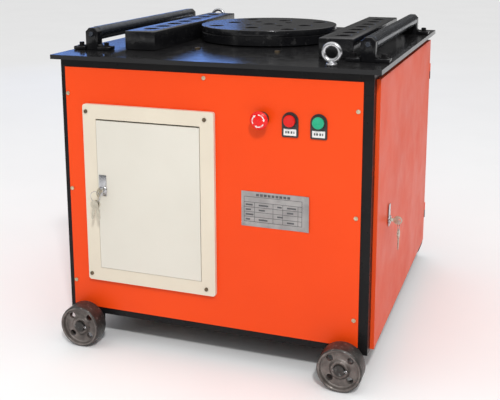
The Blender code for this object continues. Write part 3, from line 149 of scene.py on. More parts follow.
def mixed(tree: Tree, factor: Socket,
          first: Socket | Colour, second: Colour) -> Socket:
    """Two colours mixed by a factor.

    Args:
        tree: the nodes it joins.
        factor: how much of the second.
        first: a colour or where it comes from.
        second: the other colour.

    Returns:
        The mixed colour.
    """
    start = (*first, 1.0) if isinstance(first, tuple) else first
    return wired(tree, "ShaderNodeMix", {0: factor, 6: start, 7: (*second, 1.0)},
                 data_type="RGBA").outputs[2]


@dataclass(frozen=True)
class Finish:
    """A surface finish: the same recipe for paint, metal, plastic and rubber."""

    name: str
    colour: Colour
    shade: Colour
    roughness: float
    metallic: float = 0.0
    coat: float = 0.0
    shine: float = 0.5
    mottle: float = 9.0
    bump: float = 0.05
    bump_size: float = 400.0
    rough_swing: float = 0.10
    dust: float = 0.0
    scratches: float = 0.0
    grain: Grain = Grain.EVEN

    def noise(self, tree: Tree, where: Socket, size: float,
              detail: float) -> Socket:
        """Noise on the object's own coordinates.

        Args:
            tree: the material's nodes.
            where: the coordinates.
            size: how fine it is.
            detail: how many octaves it has.

        Returns:
            Its strength.
        """
        node = wired(tree, "ShaderNodeTexNoise", {"Scale": size, "Detail": detail, "Vector": where})
        return node.outputs["Fac"]

    def scratched(self, tree: Tree, where: Socket,
                  colour: Socket) -> Socket:
        """The colour with bright scratches in it."""
        wide = self.noise(tree, where, self.mottle * 3.0, 8.0)
        mark = ranged(tree, wide, (0.60, 0.68), (0.0, self.scratches))
        return mixed(tree, mark, colour, SCRATCH_COLOUR)

    def dusted(self, tree: Tree, where: Socket,
               colour: Socket) -> Socket:
        """The colour with dust on the faces that look up."""
        normal = tree.nodes.new("ShaderNodeNewGeometry").outputs["Normal"]
        facing = wired(tree, "ShaderNodeSeparateXYZ", {0: normal})
        up = ranged(tree, facing.outputs["Z"], (0.4, 1.0), (0.0, self.dust))
        patch = self.noise(tree, where, self.mottle * 1.7, 9.0)
        veil = times(tree, up, ranged(tree, patch, (0.35, 0.75), (0.15, 1.0)))
        return mixed(tree, veil, colour, DUST_COLOUR)

    def material(self) -> bpy.types.Material:
        """The finish as a node material, made once.

        Returns:
            The material.
        """
        made = bpy.data.materials.get(self.name)
        if made:
            return made
        made = bpy.data.materials.new(self.name)
        made.use_nodes = True
        tree = made.node_tree
        shader = next(n for n in tree.nodes if n.type == "BSDF_PRINCIPLED")
        place = tree.nodes.new("ShaderNodeTexCoord").outputs["Object"]
        along_grain = wired(tree, "ShaderNodeMapping",
                            {"Scale": self.grain.value, "Vector": place}).outputs["Vector"]
        shade = ranged(tree, self.noise(tree, place, self.mottle, 5.0), (0.3, 0.7), (0.0, 1.0))
        colour = mixed(tree, shade, self.colour, self.shade)
        smooth = max(0.03, self.roughness - self.rough_swing)
        fine = self.noise(tree, along_grain, self.mottle * 5.0, 4.0)
        rough = ranged(tree, fine, (0.3, 0.7), (smooth, self.roughness + self.rough_swing))
        if self.scratches:
            colour = self.scratched(tree, along_grain, colour)
        if self.dust:
            colour = self.dusted(tree, place, colour)
        skin = self.noise(tree, along_grain, self.bump_size, 3.0)
        relief = wired(tree, "ShaderNodeBump", {"Strength": self.bump, "Distance": 0.001, "Height": skin})
        for key, socket in (("Base Color", colour), ("Roughness", rough), ("Normal", relief.outputs[0])):
            tree.links.new(socket, shader.inputs[key])
        shader.inputs["Metallic"].default_value = self.metallic
        shader.inputs["Specular IOR Level"].default_value = self.shine
        shader.inputs["Coat Weight"].default_value = self.coat
        shader.inputs["Coat Roughness"].default_value = 0.08
        return made


BLACK_GLOSS = Finish("black_gloss_paint", (0.005, 0.005, 0.006), (0.009, 0.009, 0.010), 0.18, coat=0.1,
                     shine=0.35, dust=0.04, bump=0.04, bump_size=260.0, rough_swing=0.06)
BLACK_FRAME = Finish("black_frame_paint", (0.006, 0.006, 0.007), (0.011, 0.010, 0.010), 0.34, shine=0.15,
                     dust=0.04, bump=0.10, bump_size=300.0)
ORANGE = Finish("orange_paint_front", (0.90, 0.072, 0.006), (0.84, 0.062, 0.005), 0.36, shine=0.20,
                mottle=3.0, bump_size=520.0, rough_swing=0.05)
# Painted shade: the same orange paint as the front panel, made darker and duller on the side doors because
# they face away from the light.
ORANGE_SHADED_DOORS = Finish("orange_paint_doors_painted_shade", (0.84, 0.082, 0.014), (0.76, 0.070, 0.012), 0.38, shine=0.15,
                     mottle=2.4, bump_size=520.0, rough_swing=0.06)
CREAM = Finish("cream_paint_flange", (0.76, 0.69, 0.56), (0.71, 0.64, 0.52), 0.42, shine=0.3, mottle=6.0,
               bump_size=520.0)
CREAM_DOOR = Finish("cream_paint_door", (0.73, 0.70, 0.62), (0.69, 0.66, 0.58), 0.40, shine=0.3, mottle=5.0,
                    bump_size=520.0)
OILED_STEEL = Finish("oiled_steel", (0.010, 0.010, 0.011), (0.005, 0.005, 0.006), 0.20, mottle=26.0,
                     bump_size=260.0, dust=0.05, scratches=0.05, rough_swing=0.06)
ROLLER_STEEL = Finish("turned_roller_steel", (0.085, 0.095, 0.115), (0.040, 0.046, 0.058), 0.22,
                      metallic=0.9, mottle=60.0, grain=Grain.ALONG_Y, bump=0.10, bump_size=900.0,
                      scratches=0.25)
MACHINED = Finish("machined_steel_faces", (0.42, 0.42, 0.43), (0.30, 0.30, 0.31), 0.30, metallic=1.0,
                  mottle=70.0, bump=0.08, bump_size=900.0, scratches=0.15)
TURNED = Finish("turned_shaft_steel", (0.40, 0.40, 0.41), (0.28, 0.28, 0.29), 0.28, metallic=1.0,
                mottle=90.0, bump=0.10, bump_size=1100.0)
CAST_WHEEL = Finish("cast_wheel_iron", (0.230, 0.200, 0.185), (0.075, 0.064, 0.058), 0.42, metallic=0.45,
                    mottle=48.0, bump=0.45, bump_size=420.0, dust=0.20, rough_swing=0.16)
WORN_TREAD = Finish("worn_wheel_tread", (0.060, 0.056, 0.052), (0.028, 0.026, 0.025), 0.42, metallic=0.5,
                    mottle=60.0, bump=0.35, bump_size=500.0, dust=0.15, scratches=0.35)
CAST_PULLEY = Finish("cast_pulley_iron", (0.17, 0.165, 0.16), (0.10, 0.095, 0.09), 0.45, metallic=0.7,
                     mottle=50.0, bump=0.30, bump_size=420.0)
ZINC = Finish("bright_zinc_plate", (0.62, 0.62, 0.63), (0.45, 0.45, 0.47), 0.22, metallic=1.0, mottle=55.0,
              bump=0.12, bump_size=700.0)
DARK_SCREW = Finish("blackened_screw_steel", (0.22, 0.165, 0.105), (0.09, 0.065, 0.040), 0.36, metallic=0.7,
                    mottle=120.0, bump=0.20, bump_size=1200.0)
BRASSY_SCREW = Finish("yellow_zinc_screw", (0.72, 0.60, 0.42), (0.34, 0.25, 0.15), 0.30, metallic=0.75,
                      mottle=130.0, bump=0.20, bump_size=1200.0)
BLACK_PLASTIC = Finish("black_moulded_plastic", (0.018, 0.018, 0.019), (0.026, 0.026, 0.027), 0.42,
                       mottle=60.0, bump=0.12, bump_size=1500.0)
RED_PLASTIC = Finish("red_moulded_plastic", (0.84, 0.010, 0.008), (0.74, 0.008, 0.007), 0.26, shine=0.35,
                     mottle=40.0, bump=0.03, bump_size=1500.0, rough_swing=0.05)
RED_CAP = Finish("red_button_plastic", (0.72, 0.014, 0.010), (0.60, 0.010, 0.008), 0.30, shine=0.30,
                 mottle=50.0, bump=0.03, bump_size=1500.0, rough_swing=0.05)
GREEN_CAP = Finish("green_button_plastic", (0.022, 0.43, 0.23), (0.015, 0.36, 0.19), 0.30, shine=0.35,
                   mottle=50.0, bump=0.03, bump_size=1500.0, rough_swing=0.05)
WHITE_MARK = Finish("white_printed_mark", (0.82, 0.82, 0.80), (0.74, 0.74, 0.72), 0.45, mottle=80.0,
                    bump_size=900.0)
BRUSHED_PLATE = Finish("brushed_aluminium_plate", (0.42, 0.40, 0.39), (0.30, 0.285, 0.28), 0.34,
                       metallic=0.75, mottle=40.0, grain=Grain.ALONG_X, bump=0.08, bump_size=1400.0)
ETCHED_INK = Finish("dark_etched_ink", (0.10, 0.10, 0.105), (0.06, 0.06, 0.065), 0.5, mottle=90.0,
                    bump_size=900.0)
BRONZE = Finish("cast_bronze", (0.50, 0.30, 0.10), (0.36, 0.20, 0.06), 0.34, metallic=1.0, mottle=50.0,
                bump=0.12, bump_size=700.0)
BELT_RUBBER = Finish("belt_rubber_cloth", (0.018, 0.018, 0.018), (0.030, 0.029, 0.028), 0.78, mottle=120.0,
                     bump=0.5, bump_size=1400.0)
MOTOR_BLUE = Finish("motor_blue_paint", (0.055, 0.14, 0.26), (0.040, 0.10, 0.20), 0.42, coat=0.2,
                    mottle=14.0, bump=0.20, bump_size=420.0, dust=0.25)
GEARBOX_GREY = Finish("gearbox_grey_paint", (0.16, 0.18, 0.18), (0.11, 0.12, 0.12), 0.50, mottle=16.0,
                      bump=0.35, bump_size=320.0, dust=0.25)
BRASS_KEY = Finish("nickelled_key_brass", (0.62, 0.58, 0.48), (0.44, 0.40, 0.32), 0.28, metallic=1.0,
                   mottle=140.0, bump=0.15, bump_size=1200.0)


# ---------------------------------------------------------------- making meshes

def corners(node: str) -> tuple[Vector, Vector]:
    """Lower and upper corner of a node's box."""
    low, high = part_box(node)
    return Vector(low), Vector(high)


def middle(node: str) -> Vector:
    """Middle of a node's box."""
    low, high = corners(node)
    return (low + high) / 2


def along(axis: Along, a: float, b: float, height: float) -> Vector:
    """A point given by two places across an axis and one along it."""
    return Vector({"X": (height, a, b), "Y": (a, height, b), "Z": (a, b, height)}[axis.value])


def circle(centre: tuple[float, float], radius: float, count: int, start: float = 0.0,
           turn: float = 360.0) -> Profile:
    """Points round a circle or an arc.

    Args:
        centre: its middle.
        radius: its radius.
        count: how many points.
        start: angle of the first, in degrees.
        turn: how far round they go, in degrees.

    Returns:
        The points, an arc with both its ends.
    """
    steps = count if abs(turn) >= 360.0 else count - 1
    return [(centre[0] + radius * cos(radians(start + turn * i / steps)),
             centre[1] + radius * sin(radians(start + turn * i / steps))) for i in range(count)]


def add_turned(bm: Mesh, profile: Profile, axis: Along, centre: Point, segments: int) -> None:
    """Revolves a closed or pole-to-pole profile round an axis.

    Args:
        bm: where the faces go.
        profile: (radius, place along the axis) points; a profile with no poles is a closed ring.
        axis: the axis it is turned on.
        centre: a point of that axis.
        segments: how many facets it has round.
    """
    rows = []
    for radius, height in profile:
        around = [(0, 0)] if radius < 1e-9 else circle((0, 0), radius, segments)
        rows.append([bm.verts.new(Vector(centre) + along(axis, a, b, height)) for a, b in around])
    closed = all(len(row) > 1 for row in rows)
    for low, high in zip(rows, rows[1:] + rows[:1] if closed else rows[1:]):
        for i in range(segments):
            j = (i + 1) % segments
            ends = [low[i % len(low)], low[j % len(low)], high[j % len(high)], high[i % len(high)]]
            kept = list(dict.fromkeys(ends))
            if len(kept) > 2:
                bm.faces.new(kept)


def add_rod(bm: Mesh, radius: float, low: float, high: float, axis: Along, centre: Point,
            segments: int) -> None:
    """Plain round rod between two places along an axis."""
    add_turned(bm, [(0, low), (radius, low), (radius, high), (0, high)], axis, centre, segments)


def add_prism(bm: Mesh, outline: Profile, axis: Along, start: float, end: float,
              slot: int = 0) -> None:
    """Extrudes an outline of (across, across) points along an axis.

    Args:
        bm: where the faces go.
        outline: the corners, in order.
        axis: the axis it is extruded along.
        start: its first end.
        end: its other end.
        slot: material slot of its faces.
    """
    low = [bm.verts.new(along(axis, a, b, start)) for a, b in outline]
    high = [bm.verts.new(along(axis, a, b, end)) for a, b in outline]
    count = len(outline)
    sides = [(low[(i + 1) % count], low[i], high[i], high[(i + 1) % count]) for i in range(count)]
    for face in [low, high[::-1]] + sides:
        bm.faces.new(face).material_index = slot


def add_box(bm: Mesh, low: Point, high: Point, slot: int = 0) -> None:
    """Box between two corners."""
    outline = [(low[0], low[1]), (high[0], low[1]), (high[0], high[1]), (low[0], high[1])]
    add_prism(bm, outline, Along.Z, low[2], high[2], slot)


def shown(name: str, data: bpy.types.ID) -> Piece:
    """A new object in the scene, at the origin."""
    piece = bpy.data.objects.new(name, data)
    bpy.context.scene.collection.objects.link(piece)
    return piece


def settle_modifiers(piece: Piece) -> None:
    """Replaces a piece's mesh by what its modifiers make, and removes them."""
    graph = bpy.context.evaluated_depsgraph_get()
    made = bpy.data.meshes.new_from_object(piece.evaluated_get(graph))
    old = piece.data
    piece.modifiers.clear()
    piece.data = made
    bpy.data.meshes.remove(old)


def finished(bm: Mesh, name: str, finishes: list[Finish], angle: float = 35.0,
             bevel: float = 0.0, steps: int = 2) -> Piece:
    """Turns a mesh into an object with its finishes, smooth shading and a bevel.

    Args:
        bm: the mesh, which is freed.
        name: the object's name.
        finishes: one for each material slot.
        angle: edges sharper than this stay sharp, in degrees.
        bevel: width of the rounded edges; none if it is zero.
        steps: segments across that width.

    Returns:
        The object.
    """
    bmesh.ops.remove_doubles(bm, verts=bm.verts, dist=1e-7)
    bmesh.ops.recalc_face_normals(bm, faces=bm.faces)
    mesh = bpy.data.meshes.new(name)
    bm.to_mesh(mesh)
    bm.free()
    piece = shown(name, mesh)
    for finish in finishes:
        mesh.materials.append(finish.material())
    if bevel:
        rounding = piece.modifiers.new("rounded_edges", "BEVEL")
        rounding.width = bevel
        rounding.segments = steps
        rounding.limit_method = "ANGLE"
        rounding.angle_limit = radians(angle)
        settle_modifiers(piece)
    piece.data.shade_smooth()
    piece.data.set_sharp_from_angle(angle=radians(angle))
    return piece


def turned(name: str, profile: Profile, axis: Along, centre: Point, segments: int,
           finish: Finish, angle: float = 35.0) -> Piece:
    """A piece turned from one profile.

    Args:
        name: the object's name.
        profile: see add_turned.
        axis: the axis it is turned on.
        centre: a point of that axis.
        segments: how many facets it has round.
        finish: what it is made of.
        angle: edges sharper than this stay sharp, in degrees.

    Returns:
        The object.
    """
    bm = bmesh.new()
    add_turned(bm, profile, axis, centre, segments)
    return finished(bm, name, [finish], angle)


def bored(piece: Piece, cutters: Mesh, crossed: bool = False) -> Piece:
    """Cuts holes through a piece.

    Args:
        piece: what is cut.
        cutters: closed shapes that don't touch each other.
        crossed: whether the piece is made of shapes that cross.

    Returns:
        The piece.
    """
    bmesh.ops.recalc_face_normals(cutters, faces=cutters.faces)
    mesh = bpy.data.meshes.new("cutters")
    cutters.to_mesh(mesh)
    cutters.free()
    tool = shown("cutters", mesh)
    cut = piece.modifiers.new("holes", "BOOLEAN")
    cut.operation = "DIFFERENCE"
    cut.solver = "EXACT"
    cut.use_self = crossed
    cut.object = tool
    settle_modifiers(piece)
    bpy.data.objects.remove(tool)
    bpy.data.meshes.remove(mesh)
    return piece


def settled(piece: Piece, body: str, slot: str, *nodes: str) -> None:
    """Lets a finished piece ride on its body and stand for the nodes it replaces.

    Args:
        piece: the finished piece.
        body: the body it moves with.
        slot: the record's material slot; not used.
        nodes: nodes that it stands for.
    """
    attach(piece, body)
    if nodes:
        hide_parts(*nodes)
    LOG.info("%s rides on %s, %d faces", piece.name, body, len(piece.data.polygons))


# ---------------------------------------------------------------- fasteners

def new_group(name: str) -> Tree:
    """Empty Geometry Nodes group that takes and gives geometry."""
    group = bpy.data.node_groups.new(name, "GeometryNodeTree")
    for way in ("INPUT", "OUTPUT"):
        group.interface.new_socket("Geometry", in_out=way, socket_type="NodeSocketGeometry")
    return group


def close_group(group: Tree, instances: Socket, finish: Finish) -> None:
    """Realizes a group's instances, gives them their finish and sends them out."""
    real = wired(group, "GeometryNodeRealizeInstances", {0: instances})
    dressed = wired(group, "GeometryNodeSetMaterial", {"Geometry": real.outputs[0],
                                                       "Material": finish.material()})
    wired(group, "NodeGroupOutput", {0: dressed.outputs[0]})


def grown(name: str, points: list[Point], group: Tree, values: dict[str, object],
          finish: Finish) -> Piece:
    """Plain mesh that a group makes from points.

    Args:
        name: the object's name.
        points: its starting points.
        group: the group.
        values: the group's inputs by their identifiers.
        finish: what it is made of.

    Returns:
        The object.
    """
    mesh = bpy.data.meshes.new(name)
    mesh.from_pydata(points, [], [])
    mesh.materials.append(finish.material())
    piece = shown(name, mesh)
    maker = piece.modifiers.new("instances", "NODES")
    maker.node_group = group
    for identifier, value in values.items():
        maker[identifier] = value
    settle_modifiers(piece)
    return piece


class Head(Enum):
    """Kinds of fastener head: sides, head height over its radius, washer over head radius."""

    HEX = (6, 1.10, 1.45)
    PAN = (20, 0.55, 1.00)
    CAP = (24, 0.90, 1.00)


class FastenerTree:
    """Geometry Nodes that put a fastener head on every point of a mesh."""

    def __init__(self, head: Head, finish: Finish) -> None:
        """Builds the tree.

        Args:
            head: the kind of head.
            finish: what it is made of.
        """
        self.head = head
        self.finish = finish
        self.group = new_group(f"{head.name.lower()}_fasteners")
        self.radius, self.turn = (
            self.group.interface.new_socket(name, in_out="INPUT", socket_type=kind).identifier
            for name, kind in (("Radius", "NodeSocketFloat"), ("Turn", "NodeSocketVector")))
        self.source = self.group.nodes.new("NodeGroupInput")
        self.build()

    def cylinder(self, radius: float, low: float, high: float, sides: int) -> Socket:
        """A cylinder whose sizes are shares of the head's radius.

        Args:
            radius: its radius.
            low: its lower face.
            high: its upper face.
            sides: its facets.

        Returns:
            The geometry.
        """
        size = self.source.outputs["Radius"]
        solid = wired(self.group, "GeometryNodeMeshCylinder",
                      {"Vertices": sides, "Radius": times(self.group, size, radius),
                       "Depth": times(self.group, size, high - low)})
        lift = wired(self.group, "ShaderNodeCombineXYZ", {"Z": times(self.group, size, (high + low) / 2)})
        moved = wired(self.group, "GeometryNodeTransform", {"Geometry": solid.outputs["Mesh"],
                                                            "Translation": lift.outputs[0]})
        return moved.outputs["Geometry"]

    def build(self) -> None:
        """Joins washer, head, crown and socket, and puts them on the points."""
        sides, height, washer = self.head.value
        base = 0.28 if washer > 1.0 else 0.0
        parts = [(washer, 0.0, base, 24)] if base else []
        parts += [(1.0, base - 0.01, base + height * 0.85, sides),
                  (0.84, base + height * 0.84, base + height, 20)]
        if self.head is not Head.HEX:
            parts.append((0.42, base + height * 0.99, base + height * 1.06, 6))
        join = self.group.nodes.new("GeometryNodeJoinGeometry")
        for part in parts:
            self.group.links.new(self.cylinder(*part), join.inputs[0])
        put = wired(self.group, "GeometryNodeInstanceOnPoints",
                    {"Points": self.source.outputs["Geometry"], "Instance": join.outputs[0],
                     "Rotation": self.source.outputs["Turn"]})
        close_group(self.group, put.outputs["Instances"], self.finish)

    def place(self, name: str, points: list[Point], facing: Vector, radius: float, body: str,
              slot: str) -> None:
        """Makes one mesh of fasteners that all face one way.

        Args:
            name: the piece's name.
            points: where they sit, on the surface.
            facing: which way their heads stand out.
            radius: radius of a head.
            body: the body they ride on.
            slot: the record's material slot.
        """
        turn = tuple(facing.to_track_quat("Z", "Y").to_euler())
        piece = grown(name, points, self.group, {self.radius: radius, self.turn: turn}, self.finish)
        piece.data.shade_smooth()
        piece.data.set_sharp_from_angle(angle=radians(35.0))
        settled(piece, body, slot)


FASTENERS: dict[str, FastenerTree] = {}


# ---------------------------------------------------------------- studio

@dataclass
class Studio:
    """Camera, soft lights and a pale floor."""

    camera_place: Point = (0.6899, -2.0527, 0.9446)
    yaw: float = 20.21
    pitch: float = 11.37
    roll: float = -0.29
    lens: float = 61.16
    shift: tuple[float, float] = (0.02, -0.18)
    floor_size: float = 40.0
    horizon: tuple[float, float] = (0.22, 0.62)
    brightness: tuple[float, float] = (0.10, 1.05)

    def add_camera(self) -> None:
        """Puts the camera where the machine is seen from."""
        data = bpy.data.cameras.new("view")
        data.lens = self.lens
        data.sensor_width = 36.0
        data.sensor_fit = "HORIZONTAL"
        data.shift_x, data.shift_y = self.shift
        camera = shown("view", data)
        yaw, pitch, roll = (Matrix.Rotation(radians(angle), 4, axis) for angle, axis in
                            ((self.yaw, "Z"), (90 - self.pitch, "X"), (self.roll, "Z")))
        camera.matrix_world = Matrix.Translation(self.camera_place) @ yaw @ pitch @ roll
        bpy.context.scene.camera = camera

    def add_light(self, name: str, place: Point, target: Point, size: tuple[float, float], power: float,
                  colour: Colour = (1.0, 1.0, 1.0)) -> None:
        """Adds a soft box that faces a point.

        Args:
            name: its name.
            place: where it stands.
            target: what it faces.
            size: its width and height.
            power: its power in watts.
            colour: its colour.
        """
        data = bpy.data.lights.new(name, "AREA")
        data.shape = "RECTANGLE"
        data.size, data.size_y = size
        data.energy = power
        data.color = colour
        lamp = shown(name, data)
        lamp.location = place
        lamp.rotation_euler = (Vector(target) - Vector(place)).to_track_quat("-Z", "Y").to_euler()

    def add_floor(self) -> None:
        """Pale floor under the machine."""
        bm = bmesh.new()
        half = self.floor_size
        bm.faces.new([bm.verts.new((x, y, -0.0005)) for x, y in
                      ((-half, -half), (half, -half), (half, half), (-half, half))])
        pale = Finish("pale_floor", (0.90, 0.90, 0.90), (0.88, 0.88, 0.88), 0.85, mottle=2.0, bump=0.0)
        finished(bm, "floor", [pale])

    def add_sky(self) -> None:
        """Soft light from above that fades towards the horizon, so that gloss stays dark."""
        world = bpy.data.worlds.new("studio")
        world.use_nodes = True
        tree = world.node_tree
        direction = tree.nodes.new("ShaderNodeTexCoord").outputs["Generated"]
        height = wired(tree, "ShaderNodeSeparateXYZ", {0: direction}).outputs["Z"]
        back = tree.nodes["Background"]
        tree.links.new(ranged(tree, height, self.horizon, self.brightness), back.inputs["Strength"])
        back.inputs["Color"].default_value = (1.0, 1.0, 1.0, 1.0)
        bpy.context.scene.world = world

    def build(self) -> None:
        """Makes the whole studio."""
        self.add_camera()
        self.add_floor()
        self.add_light("key", (1.5, -3.2, 3.4), (0.0, -0.2, 0.4), (0.32, 0.32), 92.0)
        self.add_light("fill", (-2.8, -2.2, 1.5), (0.0, 0.0, 0.35), (2.0, 1.6), 5.0)
        self.add_light("sky", (-2.3, 3.9, 1.55), (0.0, 0.1, 0.75), (1.5, 0.6), 5.0, (0.16, 0.36, 1.0))
        self.add_sky()
        bpy.context.scene.view_settings.view_transform = "Standard"


# ---------------------------------------------------------------- machine

def dress(finish: Finish, *nodes: str) -> None:
    """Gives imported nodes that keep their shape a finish.

    Args:
        finish: the finish.
        nodes: their names.
    """
    for node in nodes:
        for slot in frame["nodes"][node].material_slots:
            slot.material = finish.material()
        LOG.info("%s is dressed in %s", node, finish.name)


def pin_bore(radius: float, depth: float) -> Profile:
    """Profile of a cutter for a pin hole with a lip round its top.

    Args:
        radius: radius of the hole.
        depth: height of the upper face.

    Returns:
        The profile.
    """
    wide = radius + PIN_LIP
    return [(0, -THROUGH), (radius, -THROUGH), (radius, depth - PIN_LIP), (wide, depth),
            (wide, depth + THROUGH), (0, depth + THROUGH)]


@dataclass
class BendingDisc:
    """Disc with pin holes and countersunk bolts."""

    inner_circle: tuple[float, float] = (0.100, -7.0)
    outer_circle: tuple[float, float] = (0.140, 37.0)
    bolt_circle: tuple[float, float] = (0.058, 46.0)
    bolt_radius: float = 0.0090
    sink: float = 0.0090
    edge: float = 0.0016
    groove: float = 0.0015

    def build(self) -> None:
        """Makes the disc, its holes and its bolts."""
        low, high = corners("work_disc")
        centre = middle("work_disc")
        radius = (high.x - low.x) / 2
        depth = high.z - low.z
        inner, outer, bolts = (circle((centre.x, centre.y), place, 4, start) for place, start in
                               (self.inner_circle, self.outer_circle, self.bolt_circle))
        neck = radius - self.groove
        profile = [(0, 0), (radius - self.edge, 0), (radius, self.edge), (radius, depth * 0.55),
                   (neck, depth * 0.58), (neck, depth * 0.62), (radius, depth * 0.65),
                   (radius, depth - self.edge), (radius - 0.0004, depth - self.edge * 0.4),
                   (radius - self.edge, depth), (0, depth)]
        disc = turned("bending_disc", profile, Along.Z, (centre.x, centre.y, low.z), 144, OILED_STEEL, 28.0)
        cutters = bmesh.new()
        for x, y in inner + outer + [(centre.x, centre.y)]:
            add_turned(cutters, pin_bore(PIN_RADIUS, depth), Along.Z, (x, y, low.z), 48)
        for x, y in bolts:
            add_rod(cutters, self.bolt_radius, depth - self.sink, depth + THROUGH, Along.Z,
                    (x, y, low.z), 32)
        bored(disc, cutters)
        disc.data.set_sharp_from_angle(angle=radians(28.0))
        settled(disc, "disc", "dark_steel", "work_disc")
        heads = [(x, y, high.z - self.sink + 0.0002) for x, y in bolts]
        FastenerTree(Head.CAP, DARK_SCREW).place("disc_bolts", heads, UP, 0.0070, "disc", "dark_steel")


@dataclass
class HoleBar:
    """Thick bar with a row of holes."""

    side: str
    holes: int = 7
    pitch: float = 0.067
    edge: float = 0.0020

    def build(self) -> None:
        """Makes the bar with its chamfered holes."""
        node = f"{self.side}_hole_bar"
        low, high = corners(node)
        bm = bmesh.new()
        add_box(bm, low, high)
        bar = finished(bm, f"{self.side}_bar_body", [OILED_STEEL], 30.0, self.edge, 3)
        cutters = bmesh.new()
        for i in range(self.holes):
            y = (i - (self.holes - 1) / 2) * self.pitch
            add_turned(cutters, pin_bore(PIN_RADIUS, high.z - low.z), Along.Z,
                       (middle(node).x, y, low.z), 48)
        bored(bar, cutters)
        bar.data.set_sharp_from_angle(angle=radians(30.0))
        settled(bar, "machine", "dark_steel", node)


@dataclass
class SupportRoller:
    """Roller beside a bar, with its two brackets."""

    side: str
    radius: float = 0.0165
    journal: float = 0.0060
    tip: float = 0.0010
    edge: float = 0.0015
    upright: float = 0.0220
    upright_width: float = 0.0320
    chamfer: float = 0.0090
    foot_thickness: float = 0.0080
    bolt_spread: float = 0.033

    def build_roller(self) -> None:
        """Makes the turned roller and its journals."""
        node = f"{self.side}_roller"
        low, high = corners(node)
        end = (high.y - low.y) / 2
        half = middle(f"{self.side}_bracket_rear").y - self.upright / 2 - 0.0003
        body, journal = self.radius - self.edge, self.journal
        profile = [(0, -end), (journal - self.tip, -end), (journal, self.tip - end), (journal, -half),
                   (body, -half), (self.radius, self.edge - half), (self.radius, half - self.edge),
                   (body, half), (journal, half), (journal, end - self.tip),
                   (journal - self.tip, end), (0, end)]
        roller = turned(f"{self.side}_turned_roller", profile, Along.Y, middle(node), 48, ROLLER_STEEL)
        settled(roller, node, "dark_steel", node)

    def build_bracket(self, end: str) -> None:
        """Makes an upright with cut top corners, its foot and its welds.

        Args:
            end: front or rear.
        """
        node = f"{self.side}_bracket_{end}"
        low, high = corners(node)
        axis = middle(f"{self.side}_roller")
        y = middle(node).y
        front, rear = y - self.upright / 2, y + self.upright / 2
        half, cut = self.upright_width / 2, self.chamfer
        left, right = axis.x - half, axis.x + half
        outline = [(left, low.z), (right, low.z), (right, high.z - cut), (right - cut, high.z),
                   (left + cut, high.z), (left, high.z - cut)]
        bm = bmesh.new()
        add_prism(bm, outline, Along.Y, front, rear)
        upright = finished(bm, f"{node}_upright", [BLACK_GLOSS], 30.0, 0.0010)
        cutters = bmesh.new()
        add_rod(cutters, self.journal + 0.0004, -THROUGH, THROUGH, Along.Y, (axis.x, y, axis.z), 32)
        bored(upright, cutters)
        top = low.z + self.foot_thickness
        foot = bmesh.new()
        for start, stop in ((low.x, left - 0.0002), (right + 0.0002, high.x)):
            add_box(foot, (start, low.y, low.z), (stop, high.y, top))
        plate = finished(foot, f"{node}_foot", [BLACK_GLOSS], 30.0, 0.0012)
        seam = bmesh.new()
        for way in (-1, 1):
            weld = [(axis.x + way * (half + out), top + rise) for out, rise in WELD]
            add_prism(seam, weld, Along.Y, front + 0.0005, rear - 0.0005)
        bead = finished(seam, f"{node}_weld", [BLACK_FRAME], 80.0, 0.0008)
        settled(upright, "machine", "black_paint", node)
        settled(plate, "machine", "black_paint")
        settled(bead, "machine", "black_paint")
        places = [(axis.x + way * self.bolt_spread, y, top) for way in (-1, 1)]
        FASTENERS["black_hex"].place(f"{node}_bolts", places, UP, 0.0066, "machine", "black_paint")

    def build(self) -> None:
        """Makes the roller and both brackets."""
        self.build_roller()
        self.build_bracket("front")
        self.build_bracket("rear")


@dataclass
class LiftingEye:
    """Forged eye bolt."""

    end: str
    ring: float = 0.0172
    bar: float = 0.0050
    height: float = 0.0275

    def build(self) -> None:
        """Makes the ring, its neck and its collar."""
        node = f"lifting_eye_{self.end}"
        centre = middle(node)
        base = corners(node)[0].z
        eye = turned(f"{node}_ring", circle((self.ring, 0.0), self.bar, 16), Along.Y,
                     (centre.x, centre.y, base + self.height), 56, ZINC, 60.0)
        neck = turned(f"{node}_collar", EYE_COLLAR, Along.Z, (centre.x, centre.y, base), 40, ZINC, 50.0)
        settled(eye, "machine", "bright_zinc", node)
        settled(neck, "machine", "bright_zinc")


